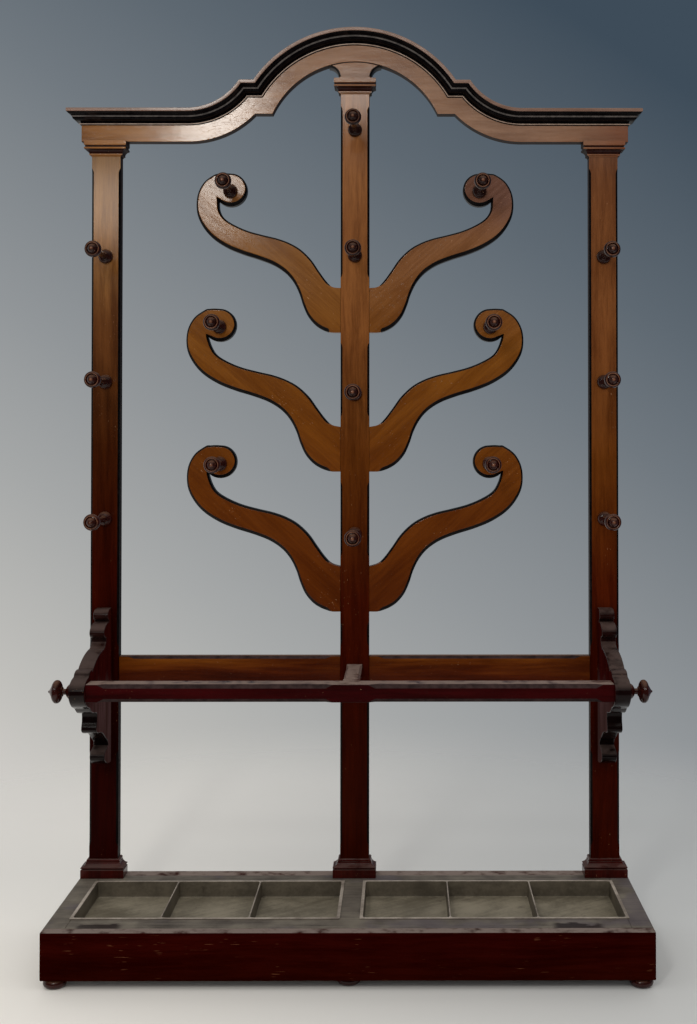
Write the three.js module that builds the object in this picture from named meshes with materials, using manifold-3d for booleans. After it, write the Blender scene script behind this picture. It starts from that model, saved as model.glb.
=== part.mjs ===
import * as THREE from 'three';
import { mergeVertices } from 'three/addons/utils/BufferGeometryUtils.js';
import Module from 'manifold-3d';

const wasm = await Module();
wasm.setup();

// A free-standing hall stand: a box base with two lift-out drip trays, three posts, an arched
// crest with a cornice, three pairs of scrolled arms, turned coat pegs and a rail for sticks.
// Sizes are in millimetres. X runs along the front, Y from front to back, and Z up.

// Joints and clearances
const fit = 0.3;
const trayClearance = 1;
const tenonThickness = 11;
const tenonLength = 15;
const tenonShoulder = 8;

// Base box
const baseWidth = 1272;
const baseDepth = 380;
const baseRailHeight = 99;
const apronThickness = 25;
const backRailThickness = 32;
const endRailWidth = 46;
const centreRailWidth = 50;
const topBoardThickness = 22;
const frontBoardWidth = 52;
const backBoardWidth = 44;
const tongueLength = 7;
const tongueThickness = 14;

// Bun feet
const footHeight = 20;
const footRadius = 25;
const footSpigotRadius = 6;
const footSpigotLength = 22;
const centreFootSetBack = 14;

// Drip trays
const trayDepth = 38;
const traySheet = 2;
const trayDivider = 3;
const trayCompartments = 3;
const trayRimLap = 4;
const trayRimThickness = 2;

// Posts, with stopped chamfers on their front edges
const postWidth = 67;
const postDepth = 28;
const postInset = 52;
const postBackGap = 10;
const postFootTenonLength = 27;
const postTenonWidth = 40;
const postTopTenonLength = 24;
const footTenonWall = 6;
const chamferWidth = 4.5;
const chamferDepth = 3;
const chamferStop = 28;
const sidePlainBelowRail = 123;

// Plinth blocks and capitals, moulded on three sides
const plinthHeight = 41;
const plinthProjection = 16.5;
const plinthBlockHeight = 19;
const capitalHeight = 35;
const capitalProjection = 15.5;
const abacusHeight = 10;

// Crest board, clear of the upper arms: straight ends, a concave sweep, a short ledge and the arch
const crestOverhang = 58.5;
const crestThickness = 28;
const crestClearance = 74;
const friezeHeight = 38;
const sweepCentreX = 392;
const sweepRadius = 220;
const ledgeRise = 66;
const archCentreDrop = 25;
const archRadius = 214.5;
const sweepSteps = 8;
const archSteps = 12;

// Cornice along the top of the crest board
const corniceHeight = 35;
const corniceProjection = 29.5;
const corniceFascia = 7;
const corniceFillet = 4;

// Head block between the centre post and the arch
const headBlockHeight = 42;
const headBlockBase = 76;
const headBlockTop = 123;
const headTenonWidth = 60;

// Scrolled arms, from the lowest pair up; the foot is where the lower edge meets the post, the eye is
// how far out the scroll's peg stands, and the notch is where the scroll meets the arm
const lowerArmFoot = 733;
const lowerArmReach = 360.5;
const lowerArmRise = 390;
const lowerArmEye = 282;
const middleArmFoot = 1060;
const middleArmReach = 362.5;
const middleArmRise = 383;
const middleArmEye = 284;
const upperArmFoot = 1386;
const upperArmReach = 339.5;
const upperArmRise = 375;
const upperArmEye = 259;
const armThickness = 26;
const armSetBack = 1;
const armRootHeight = 105;
const armScrollRadius = 38.5;
const armScrollLift = 4.5;
const armNotchOut = 28;
const armNotchDrop = 22;
const armBevel = 4;
const armLowerSteps = 27;
const armUpperSteps = 21;

// Coat pegs; those of the centre post stand above the arms' feet, and the top one below its head
const pegLength = 145;
const pegKnobRadius = 19;
const pegNeckRadius = 7.5;
const pegCollarRadius = 17;
const pegCollarThickness = 5;
const pegNeckStart = 26;
const pegSpigotRadius = 7;
const pegSpigotLength = 20;
const sidePegHeights = [950, 1270, 1564];
const lowerPegRise = 181;
const middlePegRise = 182;
const upperPegRise = 181;
const topPegDrop = 119.5;

// Rails between the posts
const midRailTop = 629;
const midRailHeight = 72;
const midRailThickness = 22;
const midRailSetBack = 4;
const midRailChamfer = 6;

// Stick rail, its centre arm, the side brackets and the knobs outside them
const stickRailZ = 592;
const stickRailHeight = 38;
const stickRailDepth = 46;
const stickRailChamfer = 8;
const stickChamferEnd = 32;
const stickChamferCentre = 46;
const centreArmWidth = 36;
const centreArmHeight = 34;
const bracketThickness = 34;
const bracketReach = 264;
const bracketNose = 37;
const bracketRise = 159;
const bracketDrop = 207;
const bracketTenonHeight = 60;
const sideKnobRadius = 25;
const sideKnobLength = 51;
const sideKnobNeckRadius = 6.5;
const sideKnobSpigotRadius = 5.5;

// Finishes
const mahogany = { color: 0x5a2413, roughness: 0.3, metalness: 0 };
const darkMahogany = { color: 0x3a0f0a, roughness: 0.28, metalness: 0 };
const turnedMahogany = { color: 0x3d130c, roughness: 0.25, metalness: 0 };
const ebonised = { color: 0x0c0908, roughness: 0.22, metalness: 0 };
const dustyBoard = { color: 0x4b433c, roughness: 0.7, metalness: 0 };
const trayMetal = { color: 0x6b6559, roughness: 0.6, metalness: 0.6 };

// Places worked out from the sizes above
const baseTop = footHeight + baseRailHeight;
const baseFront = -baseDepth / 2;
const baseBack = baseDepth / 2;
const apronBack = baseFront + apronThickness;
const backRailFront = baseBack - backRailThickness;
const trayOpeningFront = apronBack + frontBoardWidth;
const trayOpeningBack = backRailFront - backBoardWidth;
const trayOpeningInner = centreRailWidth / 2;
const trayOpeningOuter = baseWidth / 2 - endRailWidth;
const boardBottom = baseTop - topBoardThickness;
const postX = baseWidth / 2 - postInset;
const postBack = baseBack - postBackGap;
const postFront = postBack - postDepth;
const postBottom = baseTop + fit;
const crestUnderside = upperArmFoot + upperArmRise + crestClearance;
const ledgeZ = crestUnderside + ledgeRise;
const archCentreZ = crestUnderside - archCentreDrop;
const sidePostTop = crestUnderside - fit;
const archUnderside = archCentreZ + archRadius;
const centrePostTop = archUnderside - headBlockHeight;
const crestHalf = postX + crestOverhang;
const crestMidY = postFront + crestThickness / 2;
const crestBack = postFront + crestThickness;
const armFront = postFront + armSetBack;
const midRailFront = postFront + midRailSetBack;
const midRailMidY = midRailFront + midRailThickness / 2;
const midRailBottom = midRailTop - midRailHeight;
const stickRailY = postFront - bracketReach + bracketNose;
const stickRailBack = stickRailY + stickRailDepth / 2;
const stickRailHalf = postX - bracketThickness / 2 - fit;
const stickRailTop = stickRailZ + stickRailHeight / 2;
const sides = [{ name: 'left', sign: -1 }, { name: 'right', sign: 1 }];
const armTiers = [
  {
    name: 'lower', footZ: lowerArmFoot, reach: lowerArmReach, rise: lowerArmRise,
    eyeOut: lowerArmEye, pegRise: lowerPegRise,
  },
  {
    name: 'middle', footZ: middleArmFoot, reach: middleArmReach, rise: middleArmRise,
    eyeOut: middleArmEye, pegRise: middlePegRise,
  },
  {
    name: 'upper', footZ: upperArmFoot, reach: upperArmReach, rise: upperArmRise,
    eyeOut: upperArmEye, pegRise: upperPegRise,
  },
];
const centrePegHeights = [
  ...armTiers.map(({ footZ, pegRise }) => footZ + pegRise),
  centrePostTop - topPegDrop,
];

// Closes a three.js geometry into a solid whose faces point out.
function solid(geometry) {
  const plain = geometry.clone();
  plain.deleteAttribute('normal');
  plain.deleteAttribute('uv');
  const merged = mergeVertices(plain, 1e-4);
  const spots = merged.attributes.position.array;
  const corners = merged.index.array;
  const kept = [];
  let volume = 0;
  const a = new THREE.Vector3();
  const b = new THREE.Vector3();
  const c = new THREE.Vector3();
  for (let i = 0; i < corners.length; i += 3) {
    const [p, q, r] = [corners[i], corners[i + 1], corners[i + 2]];
    if (p !== q && q !== r && r !== p) {
      kept.push([p, q, r]);
      a.fromArray(spots, p * 3);
      b.fromArray(spots, q * 3);
      c.fromArray(spots, r * 3);
      volume += a.dot(b.cross(c));
    }
  }
  const triVerts = new Uint32Array(kept.flatMap(([p, q, r]) => (volume < 0 ? [p, r, q] : [p, q, r])));
  return new wasm.Manifold(new wasm.Mesh({ numProp: 3, vertProperties: new Float32Array(spots), triVerts }));
}

// Turns a finished solid into a geometry that a mesh can hold.
function surface(body) {
  const mesh = body.getMesh();
  const geometry = new THREE.BufferGeometry();
  geometry.setAttribute('position', new THREE.BufferAttribute(mesh.vertProperties, 3));
  geometry.setIndex(new THREE.BufferAttribute(mesh.triVerts, 1));
  geometry.computeVertexNormals();
  return geometry;
}

const span = (centre, width) => [centre - width / 2, centre + width / 2];
const widened = ([low, high]) => [low - fit, high + fit];
const mirrored = ([low, high], sign) => (sign > 0 ? [low, high] : [-high, -low]);

function block([x, y, z]) {
  const box = new THREE.BoxGeometry(x[1] - x[0], y[1] - y[0], z[1] - z[0]);
  return solid(box.translate((x[0] + x[1]) / 2, (y[0] + y[1]) / 2, (z[0] + z[1]) / 2));
}

// The hole for a tenon is the tenon's own block with the fit all round.
const mortise = (ranges) => block(ranges.map(widened));

// A board cut to an outline in the XZ plane, with its front face at y and its back at y + depth.
function board(shape, y, depth) {
  const cut = new THREE.ExtrudeGeometry(shape, { depth, bevelEnabled: false });
  return solid(cut.rotateX(Math.PI / 2).translate(0, y + depth, 0));
}

// A turned solid, from [radius, distance] points, along its own Z.
function turned(points, segments = 12) {
  const lathe = new THREE.LatheGeometry(points.map(([r, d]) => new THREE.Vector2(r, d)), segments);
  return lathe.rotateX(Math.PI / 2);
}

// A round hole whose flat facets still clear a spigot of the same number of sides.
function hole(radius, from, to) {
  const rim = (radius + fit) / Math.cos(Math.PI / 12);
  return turned([[0, from], [rim, from], [rim, to], [0, to]]);
}

// Runs a closed profile along stations; place gives where a profile point lies at a station.
function moulding(profile, stations, place) {
  const shape = new THREE.Shape(profile.map(([p, h]) => new THREE.Vector2(p, h)));
  const steps = stations - 1;
  const bar = new THREE.ExtrudeGeometry(shape, { depth: steps, steps, bevelEnabled: false });
  const spots = bar.attributes.position;
  for (let i = 0; i < spots.count; i += 1) {
    spots.setXYZ(i, ...place(Math.round(spots.getZ(i)), spots.getX(i), spots.getY(i)));
  }
  return solid(bar);
}

// Points of a quarter ellipse from one place to another, bulging towards the corner given.
function quarter(from, to, corner, steps = 4) {
  const points = [];
  for (let i = 0; i <= steps; i += 1) {
    const angle = (Math.PI / 2) * (i / steps);
    points.push([0, 1].map((k) => from[k] + to[k] - corner[k]
      + (corner[k] - to[k]) * Math.cos(angle) + (corner[k] - from[k]) * Math.sin(angle)));
  }
  return points;
}

const stand = new THREE.Group();

function section() {
  const group = new THREE.Group();
  stand.add(group);
  return group;
}

function piece(parent, name, body, finish, place = [0, 0, 0]) {
  const mesh = new THREE.Mesh(surface(body), new THREE.MeshStandardMaterial(finish));
  mesh.name = name;
  mesh.position.set(...place);
  parent.add(mesh);
}

// Feet

const footPlaces = [
  { name: 'foot_front_left', x: -baseWidth / 2 + footRadius + 1, y: baseFront + footRadius + 1 },
  { name: 'foot_front_centre', x: 0, y: baseFront + footRadius + 1 + centreFootSetBack },
  { name: 'foot_front_right', x: baseWidth / 2 - footRadius - 1, y: baseFront + footRadius + 1 },
  { name: 'foot_back_left', x: -baseWidth / 2 + footRadius + 1, y: baseBack - footRadius - 1 },
  { name: 'foot_back_right', x: baseWidth / 2 - footRadius - 1, y: baseBack - footRadius - 1 },
];

function footBody() {
  const top = footHeight - fit;
  const bun = [];
  for (const share of [-0.8, -0.2, 0.4]) {
    bun.push([footRadius * Math.sqrt(1 - share * share * 0.6), footHeight * (0.45 + share * 0.4)]);
  }
  return solid(turned([
    [0, 0],
    [footRadius * 0.62, 0],
    ...bun,
    [footRadius * 0.8, top],
    [footSpigotRadius, top],
    [footSpigotRadius, footHeight + footSpigotLength],
    [0, footHeight + footSpigotLength],
  ], 16));
}

function withoutFootHoles(body) {
  const drilled = hole(footSpigotRadius, 0, footHeight + footSpigotLength + fit);
  let left = body;
  for (const place of footPlaces) {
    left = left.subtract(solid(drilled.clone().translate(place.x, place.y, 0)));
  }
  return left;
}

// Base rails and boards

const crossRails = [
  { name: 'base_left_end', x: [-baseWidth / 2, -trayOpeningOuter] },
  { name: 'base_right_end', x: [trayOpeningOuter, baseWidth / 2] },
  { name: 'base_centre_rail', x: [-trayOpeningInner, trayOpeningInner] },
];
const topBoards = [
  { name: 'base_top_front', y: [apronBack + fit, trayOpeningFront] },
  { name: 'base_top_back', y: [trayOpeningBack, backRailFront - fit] },
];

// The end tongues of a cross rail, which sit in grooves in the front and back rails.
function railTongues(rail) {
  const x = span((rail.x[0] + rail.x[1]) / 2, tongueThickness);
  const z = [footHeight + tenonShoulder, boardBottom - tenonShoulder];
  return [
    [x, [apronBack - tongueLength, apronBack + tenonShoulder], z],
    [x, [backRailFront - tenonShoulder, backRailFront + tongueLength], z],
  ];
}

// The end tongues of a top board, which sit in grooves in the two end rails.
function boardTongues(top) {
  const y = [top.y[0] + tenonShoulder, top.y[1] - tenonShoulder];
  const z = span(boardBottom + topBoardThickness / 2, topBoardThickness / 3);
  const x = [trayOpeningOuter - tenonShoulder, trayOpeningOuter + tongueLength];
  return sides.map(({ sign }) => [mirrored(x, sign), y, z]);
}

// The foot tenon of a post, in the post's own X.
const postFootTenon = [
  span(0, postTenonWidth),
  [postBack - footTenonWall - tenonThickness, postBack - footTenonWall],
  [baseTop - postFootTenonLength, postBottom + tenonShoulder],
];

function apron(y) {
  let body = block([[-baseWidth / 2, baseWidth / 2], y, [footHeight, baseTop]]);
  for (const rail of crossRails) {
    for (const tongue of railTongues(rail)) {
      body = body.subtract(mortise(tongue));
    }
  }
  for (const x of [-postX, 0, postX]) {
    body = body.subtract(mortise(postFootTenon).translate([x, 0, 0]));
  }
  return withoutFootHoles(body);
}

function crossRail(rail) {
  let body = block([rail.x, [apronBack + fit, backRailFront - fit], [footHeight, baseTop]]);
  for (const tongue of railTongues(rail)) {
    body = body.add(block(tongue));
  }
  for (const top of topBoards) {
    for (const tongue of boardTongues(top)) {
      body = body.subtract(mortise(tongue));
    }
    const bed = block([[-trayOpeningInner - 1, trayOpeningInner + 1],
      [top.y[0] - 2 * fit, top.y[1] + 2 * fit], [boardBottom - fit, baseTop + 1]]);
    body = body.subtract(bed);
  }
  return withoutFootHoles(body);
}

function topBoard(top) {
  const length = trayOpeningOuter - fit;
  let body = block([[-length, length], top.y, [boardBottom, baseTop]]);
  for (const tongue of boardTongues(top)) {
    body = body.add(block(tongue));
  }
  return body;
}

// A drip tray: a sheet-metal box with a rim that hangs on the wood, parted into compartments.
function dripTray(sign) {
  const x = [trayOpeningInner + trayClearance, trayOpeningOuter - trayClearance];
  const y = [trayOpeningFront + trayClearance, trayOpeningBack - trayClearance];
  const rimTop = baseTop + fit + trayRimThickness;
  const rim = [
    mirrored([trayOpeningInner - trayRimLap, trayOpeningOuter + trayRimLap], sign),
    [trayOpeningFront - trayRimLap, trayOpeningBack + trayRimLap],
    [baseTop + fit, rimTop],
  ];
  const trough = [mirrored(x, sign), y, [rimTop - trayDepth, rimTop]];
  let body = block(trough).add(block(rim));
  const inside = x[1] - x[0] - 2 * traySheet - (trayCompartments - 1) * trayDivider;
  const pitch = inside / trayCompartments + trayDivider;
  for (let i = 0; i < trayCompartments; i += 1) {
    const low = x[0] + traySheet + i * pitch;
    const cell = [
      mirrored([low, low + pitch - trayDivider], sign),
      [y[0] + traySheet, y[1] - traySheet],
      [rimTop - trayDepth + traySheet, rimTop + 1],
    ];
    body = body.subtract(block(cell));
  }
  return body;
}

// Posts

// The strip cut from both front edges of a post between two heights.
function postChamfer([low, high]) {
  const edge = postWidth / 2;
  const strip = new THREE.Shape([
    new THREE.Vector2(edge - chamferWidth, postFront),
    new THREE.Vector2(edge - chamferWidth, postFront - 1),
    new THREE.Vector2(edge + 1, postFront - 1),
    new THREE.Vector2(edge + 1, postFront + chamferDepth),
    new THREE.Vector2(edge, postFront + chamferDepth),
  ]);
  const cut = new THREE.ExtrudeGeometry(strip, { depth: high - low, bevelEnabled: false });
  const right = solid(cut.translate(0, 0, low));
  return right.add(right.mirror([1, 0, 0]));
}

// The stretches between the plain parts of a post, each chamfer stopping short of them.
function chamferStretches(plainParts) {
  const stretches = [];
  for (let i = 0; i + 1 < plainParts.length; i += 1) {
    const low = plainParts[i][1] + chamferStop;
    const high = plainParts[i + 1][0] - chamferStop;
    if (high > low) stretches.push([low, high]);
  }
  return stretches;
}

const pegHole = turned([
  [0, -1],
  [(pegSpigotRadius + fit) / Math.cos(Math.PI / 12), -1],
  [(pegSpigotRadius + fit) / Math.cos(Math.PI / 12), pegSpigotLength + fit],
  [0, pegSpigotLength + fit],
]).rotateX(-Math.PI / 2);

const drillPegHole = (x, y, z) => solid(pegHole.clone().translate(x, y, z));

// Tenons that the posts take: each is written in the post's own X, for its right-hand side.
const midRailTenon = [
  [postWidth / 2 - tenonLength, postWidth / 2 + tenonShoulder],
  span(midRailMidY, tenonThickness),
  [midRailBottom + tenonShoulder, midRailTop - tenonShoulder],
];
const armTenon = (tier) => [
  [postWidth / 2 - tenonLength, postWidth / 2 + tenonShoulder],
  span(armFront + armThickness / 2, tenonThickness),
  [tier.footZ + tenonShoulder * 2, tier.footZ + armRootHeight - tenonShoulder * 2],
];
const centreArmTenon = [
  span(0, centreArmWidth / 2),
  [postFront - tenonShoulder, postFront + tenonLength],
  span(stickRailTop - centreArmHeight / 2, centreArmHeight / 2),
];
const bracketTenons = [bracketRise * 0.55, -bracketDrop * 0.5].map((middle) => [
  span(0, tenonThickness),
  [postFront - tenonShoulder, postFront + tenonLength],
  span(stickRailZ + middle, bracketTenonHeight),
]);

function postBody(top) {
  let body = block([span(0, postWidth), [postFront, postBack], [postBottom, top]]);
  body = body.add(block(postFootTenon));
  return body.add(block(topTenon(top)));
}

// The tenon on the head of a post, under the crest board or the head block.
function topTenon(top) {
  return [
    span(0, postTenonWidth),
    span(crestMidY, tenonThickness),
    [top - tenonShoulder, top + postTopTenonLength],
  ];
}

function sidePost(sign) {
  let body = postBody(sidePostTop);
  body = body.subtract(mortise([mirrored(midRailTenon[0], -sign), midRailTenon[1], midRailTenon[2]]));
  for (const tenon of bracketTenons) {
    body = body.subtract(mortise(tenon));
  }
  for (const z of sidePegHeights) {
    body = body.subtract(drillPegHole(0, postFront, z));
  }
  const plain = [
    [baseTop, baseTop + plinthHeight],
    [midRailBottom - sidePlainBelowRail + chamferStop, midRailTop],
    [sidePostTop - capitalHeight, sidePostTop],
  ];
  for (const stretch of chamferStretches(plain)) {
    body = body.subtract(postChamfer(stretch));
  }
  return body;
}

function centrePost() {
  let body = postBody(centrePostTop - fit);
  const sideTenons = [midRailTenon, ...armTiers.map(armTenon)];
  for (const tenon of sideTenons) {
    for (const { sign } of sides) {
      body = body.subtract(mortise([mirrored(tenon[0], sign), tenon[1], tenon[2]]));
    }
  }
  body = body.subtract(mortise(centreArmTenon));
  for (const z of centrePegHeights) {
    body = body.subtract(drillPegHole(0, postFront, z));
  }
  const plain = [
    [baseTop, baseTop + plinthHeight],
    [midRailBottom, midRailTop],
    ...armTiers.map((tier) => [tier.footZ, tier.footZ + armRootHeight]),
    [centrePostTop - capitalHeight, centrePostTop],
  ];
  for (const stretch of chamferStretches(plain)) {
    body = body.subtract(postChamfer(stretch));
  }
  return body;
}

// Runs a profile round the left, front and right of a post, flush with its back.
function collar(profile) {
  return moulding(profile, 4, (k, p, h) => {
    const side = k < 2 ? -1 : 1;
    const atBack = k === 0 || k === 3;
    return [side * (postWidth / 2 + p), atBack ? postBack : postFront - p, h];
  });
}

function plinthProfile() {
  const out = plinthProjection;
  const topOut = out * 0.3;
  const groove = plinthBlockHeight + 4;
  const slopeTop = plinthHeight - 7;
  return [
    [fit, 0],
    [out, 0],
    [out, plinthBlockHeight],
    [out * 0.72, plinthBlockHeight],
    [out * 0.72, groove],
    [out, groove],
    [out, groove + 2],
    ...quarter([out * 0.85, groove + 2.5], [topOut, slopeTop], [out * 0.35, groove + 3]),
    [topOut, plinthHeight],
    [fit, plinthHeight],
  ];
}

function capitalProfile() {
  const out = capitalProjection;
  const abacusBottom = capitalHeight - abacusHeight;
  return [
    [fit, 0],
    [out * 0.25, 0],
    [out * 0.25, 5],
    [out * 0.42, 6],
    ...quarter([out * 0.42, 9], [out * 0.92, abacusBottom - 8], [out * 0.92, 9]),
    [out * 0.92, abacusBottom - 3],
    [out * 0.68, abacusBottom - 3],
    [out * 0.68, abacusBottom],
    [out, abacusBottom + 1],
    [out, capitalHeight],
    [fit, capitalHeight],
  ];
}

// Crest board and cornice

// Half of a line that keeps one distance above the underside of the crest, from its end to the
// top of the arch, always with the same number of points.
function crestLine(above) {
  const points = [[crestHalf, crestUnderside + above]];
  const sweepZ = crestUnderside + sweepRadius;
  const sweep = sweepRadius - above;
  const sweepEnd = Math.acos((sweepZ - ledgeZ - above) / sweep);
  for (let i = 0; i <= sweepSteps; i += 1) {
    const angle = sweepEnd * (i / sweepSteps);
    points.push([sweepCentreX - sweep * Math.sin(angle), sweepZ - sweep * Math.cos(angle)]);
  }
  const arch = archRadius + above;
  const archStart = Math.asin((ledgeZ + above - archCentreZ) / arch);
  for (let i = 0; i <= archSteps; i += 1) {
    const angle = archStart + (Math.PI / 2 - archStart) * (i / archSteps);
    points.push([arch * Math.cos(angle), archCentreZ + arch * Math.sin(angle)]);
  }
  return points;
}

function wholeLine(above) {
  const right = crestLine(above);
  const left = right.slice(0, -1).map(([x, z]) => [-x, z]);
  return [...left, ...right.reverse()];
}

const headTenon = [
  span(0, headTenonWidth),
  span(crestMidY, tenonThickness),
  [archUnderside - tenonShoulder * 2, archUnderside + postTopTenonLength],
];

function crestBoard() {
  const outline = [...wholeLine(0), ...wholeLine(friezeHeight + corniceHeight).reverse()];
  const shape = new THREE.Shape(outline.map(([x, z]) => new THREE.Vector2(x, z)));
  let body = board(shape, postFront, crestThickness);
  for (const { sign } of sides) {
    body = body.subtract(mortise(topTenon(sidePostTop)).translate([sign * postX, 0, 0]));
  }
  return body.subtract(mortise(headTenon));
}

function corniceProfile() {
  const out = corniceProjection;
  const fasciaBottom = corniceHeight - corniceFascia;
  const ovoloTop = fasciaBottom - 7;
  return [
    [0, 0],
    [out * 0.15, 0],
    [out * 0.15, corniceFillet],
    [out * 0.22, corniceFillet + 1.5],
    ...quarter([out * 0.24, corniceFillet + 2], [out * 0.7, ovoloTop], [out * 0.66, corniceFillet + 3]),
    [out * 0.7, ovoloTop + 1.5],
    ...quarter([out * 0.72, ovoloTop + 2], [out * 0.86, fasciaBottom], [out * 0.74, fasciaBottom - 1], 3),
    [out * 0.94, fasciaBottom],
    [out, fasciaBottom + 1],
    [out, corniceHeight],
    [0, corniceHeight],
  ];
}

// A point of the cornice that follows the crest line, at one of that line's stations.
function cornicePoint(station, p, h) {
  const [x, z] = crestLine(friezeHeight + h)[station];
  return [x, postFront - fit - p, z];
}

// One end of the cornice: its return on the end of the board, the straight part and the sweep.
function corniceEnd(sign) {
  const lastStation = sweepSteps + 1;
  return moulding(corniceProfile(), lastStation + 2, (k, p, h) => {
    if (k < 2) {
      const x = crestHalf + fit + p;
      const y = k === 0 ? crestBack : postFront - fit - p;
      return [sign * x, y, crestUnderside + friezeHeight + h];
    }
    const [x, y, z] = cornicePoint(k - 1, p, h);
    const gap = k - 1 === lastStation ? fit / 2 : 0;
    return [sign * (x + gap), y, z];
  });
}

// The ledges and the arch of the cornice, mitred to its two ends.
function corniceArch() {
  const first = sweepSteps + 1;
  const half = archSteps + 1;
  return moulding(corniceProfile(), half * 2 + 1, (k, p, h) => {
    const sign = k < half ? -1 : 1;
    const station = first + (k < half ? k : 2 * half - k);
    const [x, y, z] = cornicePoint(station, p, h);
    const gap = station === first ? fit / 2 : 0;
    return [sign * (x - gap), y, z];
  });
}

function headBlock() {
  const rim = archRadius - fit;
  const half = headBlockTop / 2;
  const shape = new THREE.Shape();
  const edge = Math.asin(half / rim);
  const shoulderZ = archCentreZ + rim * Math.cos(edge);
  shape.moveTo(-headBlockBase / 2, centrePostTop);
  shape.lineTo(headBlockBase / 2, centrePostTop);
  shape.quadraticCurveTo(headBlockBase / 2 + 1, shoulderZ - 10, half, shoulderZ);
  shape.absarc(0, archCentreZ, rim, Math.PI / 2 - edge, Math.PI / 2 + edge, false);
  shape.quadraticCurveTo(-headBlockBase / 2 - 1, shoulderZ - 10, -headBlockBase / 2, centrePostTop);
  const outline = new THREE.Shape(shape.getPoints(6));
  const body = board(outline, postFront, crestThickness).add(block(headTenon));
  return body.subtract(mortise(topTenon(centrePostTop)));
}

// Scrolled arms, drawn from the post outwards as shares of their reach and rise

const armLowerEdge = [
  [0, 0],
  [0.081, 0.004],
  [0.162, 0.039],
  [0.223, 0.099],
  [0.26, 0.172],
  [0.286, 0.244],
  [0.325, 0.315],
  [0.381, 0.375],
  [0.463, 0.425],
  [0.566, 0.462],
  [0.68, 0.495],
  [0.791, 0.537],
  [0.892, 0.598],
  [0.96, 0.673],
  [0.996, 0.757],
  [0.993, 0.861],
  [0.949, 0.943],
  [0.877, 0.992],
];
const armUpperEdge = [
  [0.839, 0.768],
  [0.805, 0.718],
  [0.74, 0.678],
  [0.645, 0.64],
  [0.538, 0.613],
  [0.438, 0.591],
  [0.352, 0.562],
  [0.276, 0.521],
  [0.205, 0.458],
  [0.15, 0.386],
  [0.101, 0.325],
  [0.058, 0.287],
];
const armEyeShare = 0.886;

const armEye = (tier) => [tier.eyeOut, tier.rise * armEyeShare];

function armShape(tier, sign) {
  const at = ([x, z]) => new THREE.Vector2(sign * x * tier.reach, z * tier.rise);
  const eye = armEye(tier);
  const notch = new THREE.Vector2(sign * (eye[0] + armNotchOut), eye[1] - armNotchDrop);
  const rootTop = new THREE.Vector2(0, armRootHeight);
  const lower = new THREE.SplineCurve(armLowerEdge.map(at)).getPoints(armLowerSteps);
  const edge = new THREE.SplineCurve([notch, ...armUpperEdge.map(at), rootTop]);
  const upper = edge.getPoints(armUpperSteps);
  const around = [];
  for (let degrees = 95; degrees <= 305; degrees += 14) {
    const angle = THREE.MathUtils.degToRad(degrees);
    around.push(new THREE.Vector2(
      sign * (eye[0] + armScrollRadius * Math.cos(angle)),
      eye[1] + armScrollLift + armScrollRadius * Math.sin(angle),
    ));
  }
  const inside = -sign * armBevel * 3;
  const root = [new THREE.Vector2(inside, armRootHeight), new THREE.Vector2(inside, 0)];
  return new THREE.Shape([...lower, ...around, ...upper, ...root]);
}

function scrollArm(tier, sign) {
  const cut = new THREE.ExtrudeGeometry(armShape(tier, sign), {
    depth: armThickness - 2 * armBevel,
    bevelEnabled: true,
    bevelThickness: armBevel,
    bevelSize: armBevel,
    bevelOffset: -armBevel,
    bevelSegments: 1,
  });
  let body = solid(cut.rotateX(Math.PI / 2).translate(0, armThickness - armBevel, 0));
  const trim = mirrored([-armBevel * 4, fit], sign);
  body = body.subtract(block([trim, [-1, armThickness + 1], [-tier.rise, tier.rise * 2]]));
  const [x, y, z] = armTenon(tier);
  const local = [
    mirrored(x.map((value) => value - postWidth / 2), sign),
    y.map((value) => value - armFront),
    z.map((value) => value - tier.footZ),
  ];
  const eye = armEye(tier);
  return body.add(block(local)).subtract(drillPegHole(sign * eye[0], 0, eye[1]));
}

// Turned pegs and knobs

function pegBody() {
  const knob = pegLength - pegKnobRadius * 1.1;
  return solid(turned([
    [0, -pegSpigotLength],
    [pegSpigotRadius, -pegSpigotLength],
    [pegSpigotRadius, fit],
    [pegCollarRadius, fit],
    [pegCollarRadius, pegCollarThickness],
    [pegNeckRadius * 1.4, 11],
    [pegNeckRadius, pegNeckStart],
    [pegNeckRadius * 1.1, knob - 14],
    [pegKnobRadius * 0.68, knob - 6],
    [pegKnobRadius * 0.7, knob - 2],
    [pegKnobRadius * 0.96, knob + 3],
    [pegKnobRadius, knob + 10],
    [pegKnobRadius * 0.8, knob + 15],
    [pegKnobRadius * 0.4, pegLength - 3],
    [pegKnobRadius * 0.3, pegLength],
    [0, pegLength],
  ])).rotate([90, 0, 0]);
}

function sideKnob(sign) {
  const ball = sideKnobLength - 22;
  return solid(turned([
    [0, -tenonLength + fit],
    [sideKnobSpigotRadius, -tenonLength + fit],
    [sideKnobSpigotRadius, fit],
    [sideKnobRadius * 0.62, fit],
    [sideKnobRadius * 0.62, 4],
    [sideKnobNeckRadius, 10],
    [sideKnobNeckRadius, ball - 11],
    [sideKnobRadius * 0.7, ball - 9],
    [sideKnobRadius * 0.96, ball - 4],
    [sideKnobRadius, ball + 1],
    [sideKnobRadius * 0.86, ball + 8],
    [sideKnobRadius * 0.5, ball + 13],
    [sideKnobRadius * 0.2, ball + 15],
    [sideKnobRadius * 0.2, sideKnobLength - 3],
    [0, sideKnobLength],
  ], 16)).rotate([0, sign * 90, 0]);
}

// Rails, centre arm and brackets

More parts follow.
